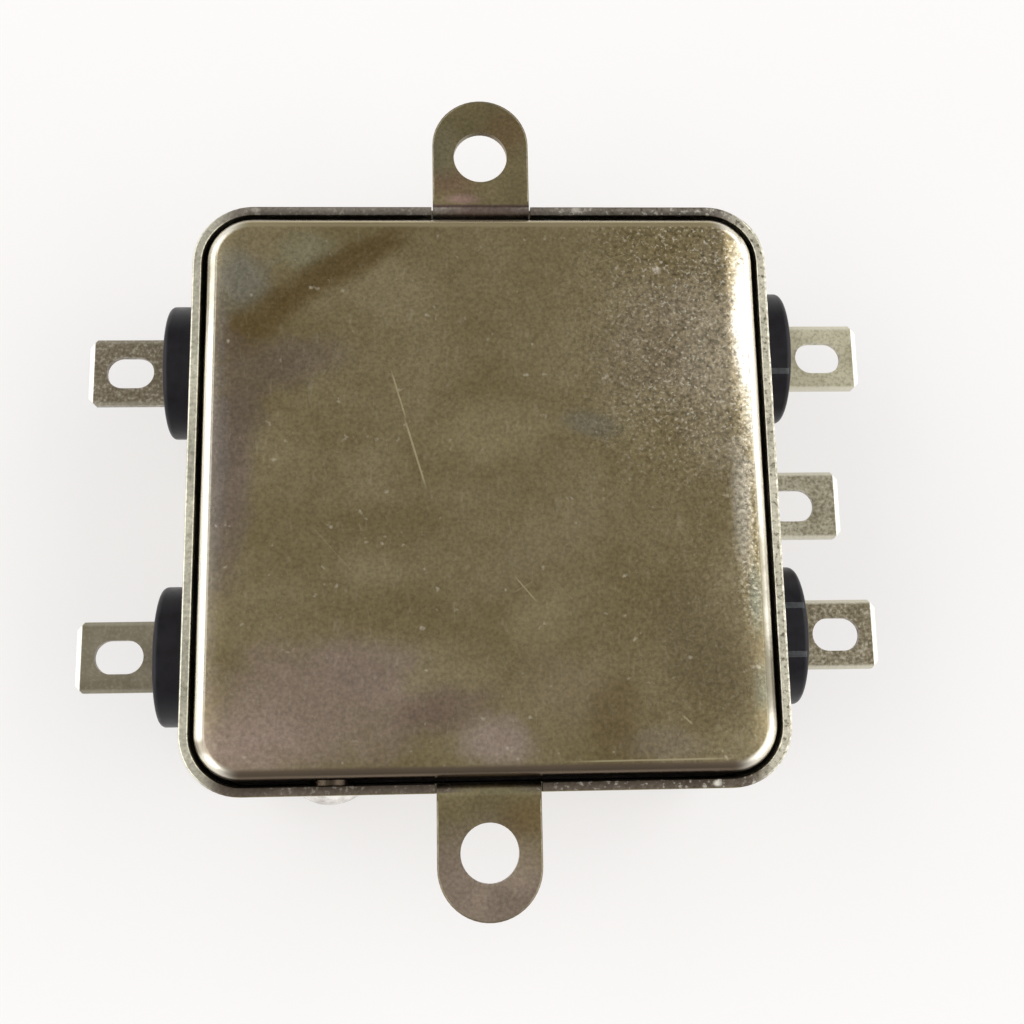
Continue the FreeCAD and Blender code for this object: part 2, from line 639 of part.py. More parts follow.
def resistor_leads():
    """Its two leads, along, up if the tails are higher, and down to the left tails."""
    x = -LAND_SMALL
    leads = []
    for s in (1, -1):
        near = LEFT_ROW_Y + s * RESISTOR_LENGTH / 2
        turn = near + s * LEAD_RISE
        far = LEFT_ROW_Y + s * TERMINAL_PITCH / 2
        points = [(x, near, RESISTOR_LEVEL)]
        if RESISTOR_LEAD_LEVEL > RESISTOR_LEVEL:
            points += [(x, turn, RESISTOR_LEVEL), (x, turn, RESISTOR_LEAD_LEVEL)]
        points += [(x, far, RESISTOR_LEAD_LEVEL), (x, far, TAB_TOP)]
        leads.append(wire_solid(points, RESISTOR_LEAD_D))
    return Part.makeCompound(leads)


# The solder

def solder_joint(side, y, wires):
    """Solder over the wire ends on one tail."""
    half = TAIL_WIDTH / 2 - SOLDER_MARGIN
    x0 = TAIL_IN + SOLDER_MARGIN
    x1 = TAIL_OUT - SOLDER_MARGIN
    top = TAB_TOP + SOLDER_HEIGHT
    pool = block(x0, x1, side * y - half, side * y + half, TAB_TOP, top)
    pool = turned(pool.makeChamfer(SOLDER_EDGE, edges_at(pool, top)), side)
    for item in wires:
        pool = pool.cut(item)
    return pool


def solder_cone(diameter, height, base, direction):
    """Solder that draws in from its foot to the wires."""
    return Part.makeCone(diameter / 2, LUG_HOLE_D / 2, height, base, direction)


def lug_solder(wires):
    """Solder in, over and under the hole of the earth lug."""
    low = V(RIVET_X, LUG_LAND, LUG_LOW)
    plug = rod(LUG_HOLE_D / 2, low, Z_AXIS, LUG_SHEET)
    over = solder_cone(LUG_SOLDER_D, LUG_SOLDER_H, low + Z_AXIS * LUG_SHEET, Z_AXIS)
    under = solder_cone(LUG_SOLDER_UNDER_D, LUG_SOLDER_UNDER_H, low, -Z_AXIS)
    joint = plug.multiFuse([over, under]).removeSplitter()
    for item in wires:
        joint = joint.cut(item)
    return joint


def pieces():
    """Every named piece of the filter."""
    made = {
        "can": can(),
        "cover": cover(),
        "earth_tab": earth_tab(),
        "earth_rivet": earth_rivet(),
        "earth_lug": earth_lug(),
        "tray": tray(),
        "choke_pad": choke_pad(),
        "choke_core": choke_core(),
        "core_divider": core_divider(),
        "winding_upper": winding(True),
        "winding_lower": winding(False),
        "bleed_resistor": bleed_resistor(),
        "resistor_leads": resistor_leads(),
    }
    for side, word in ((-1, "left"), (1, "right")):
        made["x_capacitor_" + word] = x_capacitor(side)
        made["x_capacitor_leads_" + word] = x_capacitor_leads(side)
        made["y_capacitor_" + word] = y_capacitor(side)
        made["y_capacitor_leads_" + word] = y_capacitor_leads(side)
    wires = [made[name] for name in made if "leads" in name or "winding" in name]
    for name, side, y in TERMINALS:
        made["bushing_" + name] = bushing(side, y)
        made["washer_" + name] = washer(side, y)
        made["tab_" + name] = terminal_tab(side, y)
        made["solder_" + name] = solder_joint(side, y, wires)
    made["solder_lug"] = lug_solder(wires)
    return made


os.makedirs("parts", exist_ok=True)
for node, shape in pieces().items():
    shape.exportStep("parts/" + node + ".step")
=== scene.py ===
"""Dresses the power-line filter: plated can and cover, black feed-through bushings, tabs, studio.

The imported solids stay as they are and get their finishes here. New pieces are the small things
that a press and a mould leave: the burr along the sheared edges, the ribs on two bushings and
the two weld marks on the foot of the earth tab. Lengths are written in millimetres.
"""

import json
import logging
import math
from dataclasses import dataclass
from enum import Enum
from functools import partial
from typing import Any, Callable

import bpy
import numpy as np
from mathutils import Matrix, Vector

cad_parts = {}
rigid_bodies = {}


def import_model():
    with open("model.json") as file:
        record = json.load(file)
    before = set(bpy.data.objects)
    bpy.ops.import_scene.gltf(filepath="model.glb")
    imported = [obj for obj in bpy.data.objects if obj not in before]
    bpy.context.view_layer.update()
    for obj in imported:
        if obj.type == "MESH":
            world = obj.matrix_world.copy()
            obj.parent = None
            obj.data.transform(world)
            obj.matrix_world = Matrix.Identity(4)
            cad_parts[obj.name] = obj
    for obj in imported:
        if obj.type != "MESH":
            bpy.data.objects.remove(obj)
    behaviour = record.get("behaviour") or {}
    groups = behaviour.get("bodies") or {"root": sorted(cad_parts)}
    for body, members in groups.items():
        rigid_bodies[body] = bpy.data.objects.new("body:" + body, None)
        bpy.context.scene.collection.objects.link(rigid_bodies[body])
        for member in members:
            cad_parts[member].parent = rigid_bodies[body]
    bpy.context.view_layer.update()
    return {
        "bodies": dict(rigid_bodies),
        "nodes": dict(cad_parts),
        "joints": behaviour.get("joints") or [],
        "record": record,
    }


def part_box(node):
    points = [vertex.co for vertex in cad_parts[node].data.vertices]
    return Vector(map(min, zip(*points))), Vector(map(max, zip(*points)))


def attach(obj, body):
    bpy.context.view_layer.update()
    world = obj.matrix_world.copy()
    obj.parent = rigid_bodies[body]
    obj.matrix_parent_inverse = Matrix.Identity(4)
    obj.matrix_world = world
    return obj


MM = 0.001
BODY = "root"
# Reach of a mask through a sheet, so that its tone goes by the place on the face alone
THROUGH = 1000.0
# The values that a noise really takes, nearly all of them in the middle of its range
MIDDLE = {"From Min": 0.3, "From Max": 0.7}
# The property that holds a node's mode, by the kind of node
MODES = {
    "Math": "operation",
    "VectorMath": "operation",
    "MapRange": "interpolation_type",
    "Mix": "data_type",
    "Mapping": "vector_type",
}
LOG = logging.getLogger("line_filter")

Material = bpy.types.Material
Link = bpy.types.Node | bpy.types.NodeSocket
Maker = Callable[..., bpy.types.Node]
Solids = dict[str, bpy.types.Object]
Pair = tuple[float, float]
Tube = tuple[np.ndarray, np.ndarray]


class Side(Enum):
    """Side of the can that a terminal stands on, seen from above the cover."""

    LEFT = -1
    RIGHT = 1


def linear(colour: str) -> tuple[float, float, float, float]:
    """Turns an sRGB hex colour into linear light.

    Args:
        colour: six hex digits after a hash sign.

    Returns:
        Red, green and blue from 0 to 1, and an alpha of 1.
    """
    parts = [int(colour[i:i + 2], 16) / 255 for i in (1, 3, 5)]
    red, green, blue = [c / 12.92 if c <= 0.04045 else ((c + 0.055) / 1.055) ** 2.4 for c in parts]
    return red, green, blue, 1.0


def add_node(tree: bpy.types.NodeTree, kind: str, values: dict[str | int, Any] | None = None) -> bpy.types.Node:
    """Adds one node to a tree, with its settings and links.

    Args:
        tree: the node tree.
        kind: the node's type without its first word, ShaderNode, and after a space its mode.
        values: what to set, by the name of a property or the name or place of an input. An
            input takes a number, a vector, a hex colour, an output, or another node for the
            first output that it uses.

    Returns:
        The new node.
    """
    name, *mode = kind.split()
    node = tree.nodes.new("ShaderNode" + name)
    for choice in mode:
        setattr(node, MODES[name], choice)
    for key, value in (values or {}).items():
        if isinstance(key, str) and hasattr(node, key):
            setattr(node, key, value)
        elif isinstance(value, Link):
            source = next(s for s in value.outputs if s.enabled) if isinstance(value, bpy.types.Node) else value
            tree.links.new(source, node.inputs[key])
        else:
            node.inputs[key].default_value = linear(value) if isinstance(value, str) else value
    return node


def new_material(name: str) -> tuple[Material, Maker, Link]:
    """Starts a material that is drawn in the object's own coordinates.

    Args:
        name: the real material and how its surface was made.

    Returns:
        The material, the node maker bound to its tree, and the object coordinates in millimetres.
    """
    material = bpy.data.materials.new(name)
    material.use_nodes = True
    tree = material.node_tree
    tree.nodes.clear()
    add = partial(add_node, tree)
    place = add("TexCoord").outputs["Object"]
    scaled = add("VectorMath SCALE", {"Scale": 1 / MM, 0: place})
    return material, add, scaled


def corner_distance(add: Maker, mm: Link, core: float) -> Link:
    """Distance from the square core that the can's round corners turn about.

    The length of the part of (x, y) that lies outside a square of half width core. It is
    the same all along the cover's edge, the gap and the rim.

    Args:
        add: the node maker.
        mm: coordinates in millimetres.
        core: half width of the square through the centres of the corners.

    Returns:
        The distance in millimetres.
    """
    flat = add("VectorMath MULTIPLY", {0: mm, 1: (1, 1, 0)})
    size = add("VectorMath ABSOLUTE", {0: flat})
    past = add("VectorMath SUBTRACT", {0: size, 1: (core, core, 0)})
    kept = add("VectorMath MAXIMUM", {0: past, 1: (0, 0, 0)})
    return add("VectorMath LENGTH", {0: kept})


def surface(add: Maker, tone: Link, swing: Pair, noise: Link, settings: dict[str, Any]) -> None:
    """Ends a material with a surface whose roughness swings with a noise.

    Args:
        add: the node maker.
        tone: base colour.
        swing: roughness where the noise is low and where it is high.
        noise: noise from 0 to 1.
        settings: the surface's other inputs, among them its normal.
    """
    rough = add("MapRange", {**MIDDLE, "To Min": swing[0], "To Max": swing[1], "Value": noise})
    bsdf = add("BsdfPrincipled", {"Base Color": tone, "Roughness": rough, **settings})
    add("OutputMaterial", {"Surface": bsdf})


@dataclass(frozen=True)
class StainOrPaintedLight:
    """A cloudy oval of another tone on a sheet."""

    middle: Pair
    reach: Pair
    tone: str
    strength: float
    turn: float = 0.0
    ragged: float = 1.3
    full: float = 0.9
    gone: float = 1.75

    def mask(self, add: Maker, mm: Link, cloud: Link) -> Link:
        """How much of the stain shows.

        The distance from the middle in units of the oval's reach, shaken by the cloud, fades
        from full strength inside to none outside.

        Args:
            add: the node maker.
            mm: coordinates in millimetres.
            cloud: noise from 0 to 1 that makes the edge ragged.

        Returns:
            The mask, from 0 to the stain's strength.
        """
        frame = {"Location": (*self.middle, 0), "Rotation": (0, 0, math.radians(self.turn))}
        oval = add("Mapping TEXTURE", {**frame, "Scale": (*self.reach, THROUGH), "Vector": mm})
        away = add("VectorMath LENGTH", {0: oval})
        shaken = add("Math MULTIPLY_ADD", {0: cloud, 1: self.ragged, 2: away})
        fade = {"From Min": self.full, "From Max": self.gone, "To Min": self.strength, "To Max": 0.0}
        return add("MapRange SMOOTHSTEP", {**fade, "Value": shaken})


@dataclass(frozen=True)
class ScratchOrPaintedLine:
    """A straight pale line on a sheet, scored where something hard was drawn over it; one of them is a painted
    highlight along an edge.
    """

    start: Pair
    end: Pair
    width: float
    strength: float

    def mask(self, add: Maker, mm: Link) -> Link:
        """How much of the line shows.

        In a frame that runs along the line from 0 to 1 and across it from -1 to 1, the product of a fall to both
        sides and a fall towards both ends.

        Args:
            add: the node maker.
            mm: coordinates in millimetres.

        Returns:
            The mask, from 0 to the line's strength.
        """
        run = (self.end[0] - self.start[0], self.end[1] - self.start[1])
        frame = {"Location": (*self.start, 0), "Rotation": (0, 0, math.atan2(run[1], run[0]))}
        own = add("Mapping TEXTURE", {**frame, "Scale": (math.hypot(*run), self.width, THROUGH), "Vector": mm})
        middle = add("VectorMath SUBTRACT", {0: own, 1: (0.5, 0, 0)})
        x, y, _ = add("SeparateXYZ", {0: add("VectorMath ABSOLUTE", {0: middle})}).outputs
        along = add("MapRange SMOOTHSTEP", {"From Min": 0.5, "From Max": 0.25, "To Max": self.strength, "Value": x})
        across = add("MapRange SMOOTHSTEP", {"From Min": 1.0, "From Max": 0.2, "Value": y})
        return add("Math MULTIPLY", {0: along, 1: across})


@dataclass(frozen=True)
class PlatedCover:
    """Drawn steel pan, bright nickel plated, dulled to an olive brown by handling.

    The eye sees a metal that mirrors softly, with cloudy brown, pink and grey-green tones and an orange-peel grain
    that grows towards the right. The drawn edge carries painted light: a painted highlight at the left and right, a
    thin painted highlight line along the top, and painted shade along the bottom. The grain is drawn a little coarser
    than it is, so that it survives at this size.
    """

    name: str = "steel_drawn_nickel_plated_tarnished"
    olive: str = "#95896a"
    brown: str = "#8a7c5a"
    # Edge tones: a painted highlight at the left and right, painted shade along the lower side over the olive, and a
    # lighter tone with a painted highlight line along the upper side.
    edge_painted_highlight: str = "#e9e4d6"
    tarnish_and_painted_shade: str = "#6f6254"
    upper_edge_painted_highlight: str = "#b3a684"
    spark: str = "#e4dcc8"
    scratch_and_highlight_tone: str = "#c4b896"
    cloud_mm: float = 13.0
    grain_mm: float = 0.3
    spark_mm: float = 0.26
    dot_mm: float = 0.9
    wipe_mm: float = 0.42
    wave_mm: float = 11.0
    crown_from: float = 21.2
    crown_width: float = 2.0
    crown: float = 0.05
    roughness: Pair = (0.19, 0.36)
    stains_and_painted_light: tuple[StainOrPaintedLight, ...] = (
        StainOrPaintedLight((-14.5, -18.5), (12.0, 6.5), "#a8958a", 0.75, 8.0),
        StainOrPaintedLight((-20.0, -21.0), (6.0, 3.6), "#b09c90", 0.6),
        StainOrPaintedLight((-9.5, -15.0), (5.0, 3.4), "#95847a", 0.6, 5.0),
        StainOrPaintedLight((0.4, -21.2), (4.2, 2.6), "#b5a39a", 0.7, -8.0),
        StainOrPaintedLight((-3.5, -18.5), (4.8, 2.8), "#7f6c62", 0.75, 10.0),
        StainOrPaintedLight((-21.0, 18.5), (3.4, 4.0), "#8f8f86", 0.65, 20.0),
        StainOrPaintedLight((-15.5, 21.0), (4.0, 2.4), "#97957c", 0.6, 10.0),
        StainOrPaintedLight((-12.4, 19.6), (9.5, 2.1), "#6c5a38", 0.85, 29.0),
        StainOrPaintedLight((-19.5, 14.2), (5.5, 2.6), "#6f5d3a", 0.85, 38.0),
        StainOrPaintedLight((-16.5, 11.0), (7.0, 3.0), "#7d6f62", 0.75, 4.0),
        StainOrPaintedLight((-21.6, 1.0), (2.3, 12.0), "#85766f", 0.7),
        StainOrPaintedLight((-20.8, 6.0), (3.0, 4.0), "#76685c", 0.6),
        StainOrPaintedLight((0.5, 5.0), (8.0, 3.6), "#a89b78", 0.6, 8.0),
        StainOrPaintedLight((-8.0, -3.5), (7.0, 3.4), "#7b6d4b", 0.6),
        StainOrPaintedLight((-8.0, -11.0), (7.5, 3.4), "#7b6d4b", 0.6, -6.0),
        StainOrPaintedLight((4.5, -11.5), (4.2, 3.2), "#a99b7a", 0.6),
        StainOrPaintedLight((14.5, -21.6), (5.0, 1.8), "#9c9081", 0.4),
        StainOrPaintedLight((20.0, 11.5), (4.6, 12.0), "#b2a690", 0.75),
        StainOrPaintedLight((14.5, 13.0), (6.0, 8.0), "#998c79", 0.5),
        StainOrPaintedLight((9.2, 5.2), (3.2, 1.4), "#7a7b76", 0.38, -12.0),
        StainOrPaintedLight((6.5, -17.0), (7.0, 3.5), "#93846b", 0.5, -20.0),
        StainOrPaintedLight((10.6, -19.6), (2.4, 4.6), "#7b6b4a", 0.6, -10.0),
        # Painted light on the right edge: a pale patch that is a painted highlight, and below it two grey-green
        # patches that are painted shade.
        StainOrPaintedLight((22.0, -2.0), (1.1, 6.5), "#c4bdae", 0.6),
        StainOrPaintedLight((22.7, -10.2), (0.8, 3.4), "#8f978a", 0.6),
        StainOrPaintedLight((22.9, -17.3), (1.1, 2.8), "#868a7c", 0.6),
        StainOrPaintedLight((18.5, -14.0), (6.0, 8.5), "#82755a", 0.7),
        StainOrPaintedLight((4.0, -6.0), (9.0, 3.0), "#9c8f72", 0.5, 35.0),
        StainOrPaintedLight((15.45, 19.2), (0.45, 0.45), "#ddd2bf", 0.9),
        # A darker strip along the left edge, painted shade beside that edge's painted highlight, and a near-white
        # strip along the upper right edge, a painted highlight.
        StainOrPaintedLight((-23.0, 1.0), (1.3, 21.0), "#7f7770", 0.75),
        StainOrPaintedLight((23.3, 13.2), (1.65, 11.2), "#f6f1e4", 1.0),
    )
    # Patches of painted shade that dim the edge's painted highlight.
    edge_painted_shade: tuple[StainOrPaintedLight, ...] = (
        StainOrPaintedLight((-24.4, 19.0), (1.5, 6.5), "#8b8370", 0.9),
        StainOrPaintedLight((-23.3, -21.4), (1.6, 0.9), "#7d7363", 0.8),
        StainOrPaintedLight((23.0, -9.5), (1.05, 12.0), "#8f8977", 0.95),
        StainOrPaintedLight((23.6, -16.8), (1.9, 5.0), "#6d6757", 0.92),
    )
    scratches_and_painted_line: tuple[ScratchOrPaintedLine, ...] = (
        ScratchOrPaintedLine((-8.1, 10.5), (-6.6, 5.4), 0.1, 0.8),
        ScratchOrPaintedLine((-7.0, 6.4), (-4.85, -0.8), 0.12, 0.95),
        ScratchOrPaintedLine((2.3, -7.7), (4.3, -10.1), 0.08, 0.8),
        ScratchOrPaintedLine((2.2, -9.2), (4.0, -8.2), 0.05, 0.5),
        ScratchOrPaintedLine((9.0, 19.5), (14.5, 21.2), 0.05, 0.4),
        ScratchOrPaintedLine((-15.0, -3.0), (-11.0, -7.5), 0.04, 0.3),
        # Not a score: a painted highlight along the lower edge of the face.
        ScratchOrPaintedLine((6.0, -23.05), (21.0, -23.0), 0.11, 0.9),
        ScratchOrPaintedLine((16.0, -19.4), (17.0, -20.3), 0.12, 0.7),
    )

    def lid(self, add: Maker, mm: Link, cloud: Link, ragged: Link, coarse: Link) -> Link:
        """Tones of the flat face: clouds, stained patches, patches of painted highlight and painted shade along the
        left and right edges, grain, short upright wiping marks, light dots.

        Args:
            add: the node maker.
            mm: coordinates in millimetres.
            cloud: broad noise from 0 to 1.
            ragged: finer noise from 0 to 1.
            coarse: strength of the grain, from 0 at the left to 1 at the upper right.

        Returns:
            The tone.
        """
        share = add("MapRange", {"From Min": 0.38, "From Max": 0.62, "Value": cloud})
        tone = add("Mix RGBA", {6: self.brown, 7: self.olive, 0: share})
        for patch in self.stains_and_painted_light:
            tone = add("Mix RGBA", {6: tone, 7: patch.tone, 0: patch.mask(add, mm, ragged)})
        grain = add("TexNoise", {"Scale": 1 / self.grain_mm, "Detail": 3.0, "Vector": mm})
        swing = add("Math SUBTRACT", {0: grain, 1: 0.5})
        reach = add("MapRange", {"To Min": 0.9, "To Max": 2.6, "Value": coarse})
        swing = add("Math MULTIPLY_ADD", {0: swing, 1: reach, 2: 1.0})
        tone = add("VectorMath SCALE", {0: tone, "Scale": swing})
        spark = add("TexNoise", {"Scale": 1 / self.spark_mm, "Detail": 1.0, "Vector": mm})
        spark = add("MapRange", {"From Min": 0.57, "From Max": 0.74, "To Max": 0.85, "Value": spark})
        spark = add("Math MULTIPLY", {0: spark, 1: coarse})
        tone = add("Mix RGBA", {6: tone, 7: self.spark, 0: spark})
        drawn_out = add("VectorMath MULTIPLY", {0: mm, 1: (1.0, 0.3, 1.0)})
        wiped = add("TexNoise", {"Scale": 1 / self.wipe_mm, "Detail": 1.0, "Distortion": 0.6, "Vector": drawn_out})
        wiped = add("MapRange", {"From Min": 0.6, "From Max": 0.82, "To Max": 0.13, "Value": wiped})
        tone = add("Mix RGBA", {6: tone, 7: self.spark, 0: wiped})
        dot = add("TexNoise", {"Scale": 1 / self.dot_mm, "Detail": 2.0, "Vector": mm})
        dot = add("MapRange", {"From Min": 0.7, "From Max": 0.8, "To Max": 0.5, "Value": dot})
        return add("Mix RGBA", {6: tone, 7: self.spark, 0: dot})

    def edge(self, add: Maker, mm: Link, ragged: Link, far: Link, core: float, reach: float) -> Link:
        """Painted light on the drawn edge: a painted highlight at the sides, painted shade at the bottom, a thin
        painted highlight line at the top.

        Args:
            add: the node maker.
            mm: coordinates in millimetres.
            ragged: fine noise from 0 to 1.
            far: distance from the square core.
            core: half width of the square through the centres of the corners.
            reach: distance from that square to the outermost line of the edge.

        Returns:
            The tone.
        """
        x, y, _ = add("SeparateXYZ", {0: mm}).outputs
        away = add("Math ABSOLUTE", {0: x})
        # The left and right of the edge get the painted highlight; above the middle the edge gets a lighter tone,
        # below it painted shade.
        flank = add("MapRange SMOOTHSTEP", {"From Min": core, "From Max": core + 2.2, "Value": away})
        above = add("MapRange SMOOTHSTEP", {"From Min": core, "From Max": core + 2.0, "Value": y})
        edge = add("Mix RGBA", {6: self.tarnish_and_painted_shade, 7: self.upper_edge_painted_highlight, 0: above})
        # A thin painted highlight line along the outer part of the upper edge.
        line = add("MapRange SMOOTHSTEP", {"From Min": reach - 0.45, "From Max": reach - 0.15, "Value": far})
        line = add("Math MULTIPLY", {0: line, 1: above})
        edge = add("Mix RGBA", {6: edge, 7: self.edge_painted_highlight, 0: line})
        edge = add("Mix RGBA", {6: edge, 7: self.edge_painted_highlight, 0: flank})
        for patch in self.edge_painted_shade:
            edge = add("Mix RGBA", {6: edge, 7: patch.tone, 0: patch.mask(add, mm, ragged)})
        return edge

    def relief(self, add: Maker, mm: Link, coarse: Link, lines: Link) -> Link:
        """Heights of the face: crowned towards its sides, gently wavy, grained, cut along the pale lines.

        The crown falls by the square of the distance past a line near the side, up to the
        drawn edge, and falls more at the upper right, where the face was pulled down further.

        Args:
            add: the node maker.
            mm: coordinates in millimetres.
            coarse: strength of the grain.
            lines: mask of the pale lines, scored ones and the painted highlight line along the lower edge.

        Returns:
            The normal.
        """
        x, y, _ = add("SeparateXYZ", {0: mm}).outputs
        away = add("Math ABSOLUTE", {0: x})
        past = add("Math SUBTRACT", {0: away, 1: self.crown_from})
        past = add("Math MAXIMUM", {0: past, 1: 0.0})
        past = add("Math MINIMUM", {0: past, 1: self.crown_width})
        fall = add("Math MULTIPLY", {0: past, 1: past})
        above = add("MapRange SMOOTHSTEP", {"From Min": 2.0, "From Max": 15.0, "Value": y})
        right = add("MapRange SMOOTHSTEP", {"From Min": 18.0, "From Max": 21.0, "To Max": 1.5, "Value": x})
        more = add("Math MULTIPLY_ADD", {0: above, 1: right, 2: 0.7})
        fall = add("Math MULTIPLY", {0: fall, 1: more})
        crown = add("Bump", {"Strength": 1.0, "Distance": self.crown * MM, "invert": True, "Height": fall})
        wave = add("TexNoise", {"Scale": 1 / self.wave_mm, "Detail": 1.0, "Vector": mm})
        soft = add("Bump", {"Strength": 0.25, "Distance": 0.12 * MM, "Height": wave, "Normal": crown})
        peel = add("TexNoise", {"Scale": 1 / self.grain_mm, "Detail": 2.0, "Vector": mm})
        rough = add("MapRange", {"To Min": 0.25, "To Max": 0.55, "Value": coarse})
        fine = add("Bump", {"Strength": rough, "Distance": 0.03 * MM, "Height": peel, "Normal": soft})
        cut = {"Strength": 0.5, "Distance": 0.02 * MM, "invert": True, "Height": lines, "Normal": fine}
        return add("Bump", cut)

    def build(self, core: float, edge_r: Pair) -> Material:
        """Makes the material.

        Args:
            core: half width of the square through the centres of the can's corners.
            edge_r: distances from that square at which the drawn edge starts and ends.

        Returns:
            The finished material.
        """
        material, add, mm = new_material(self.name)
        cloud = add("TexNoise", {"Scale": 1 / self.cloud_mm, "Detail": 6.0, "Roughness": 0.62, "Vector": mm})
        ragged = add("TexNoise", {"Scale": 2.2 / self.cloud_mm, "Detail": 5.0, "Roughness": 0.7, "Vector": mm})
        x, y, _ = add("SeparateXYZ", {0: mm}).outputs
        across = add("MapRange SMOOTHSTEP", {"From Min": 5.0, "From Max": 19.5, "To Min": 0.06, "Value": x})
        upward = add("MapRange SMOOTHSTEP", {"From Min": -3.0, "From Max": 8.0, "To Min": 0.15, "Value": y})
        coarse = add("Math MULTIPLY", {0: across, 1: upward})
        beside = add("MapRange SMOOTHSTEP", {"From Min": 20.2, "From Max": 22.2, "Value": x})
        lower = add("MapRange SMOOTHSTEP", {"From Min": -16.0, "From Max": -6.0, "Value": y})
        beside = add("Math MULTIPLY", {0: beside, 1: lower})
        coarse = add("Math MAXIMUM", {0: coarse, 1: beside})
        tone = self.lid(add, mm, cloud, ragged, coarse)
        lines = self.scratches_and_painted_line[0].mask(add, mm)
        for pale_line in self.scratches_and_painted_line[1:]:
            lines = add("Math MAXIMUM", {0: lines, 1: pale_line.mask(add, mm)})
        far = corner_distance(add, mm, core)
        drawn = add("MapRange SMOOTHSTEP", {"From Min": edge_r[0] - 0.1, "From Max": edge_r[0] + 0.3, "Value": far})
        edge = self.edge(add, mm, ragged, far, core, edge_r[1])
        # Over the drawn edge the tone is the edge's painted light.
        tone = add("Mix RGBA", {6: tone, 7: edge, 0: drawn})
        # The pale lines take a pale tone; along the lower edge this is a painted highlight.
        tone = add("Mix RGBA", {6: tone, 7: self.scratch_and_highlight_tone, 0: lines})
        normal = self.relief(add, mm, coarse, lines)
        surface(add, tone, self.roughness, cloud, {"Metallic": 1.0, "Normal": normal})
        return material


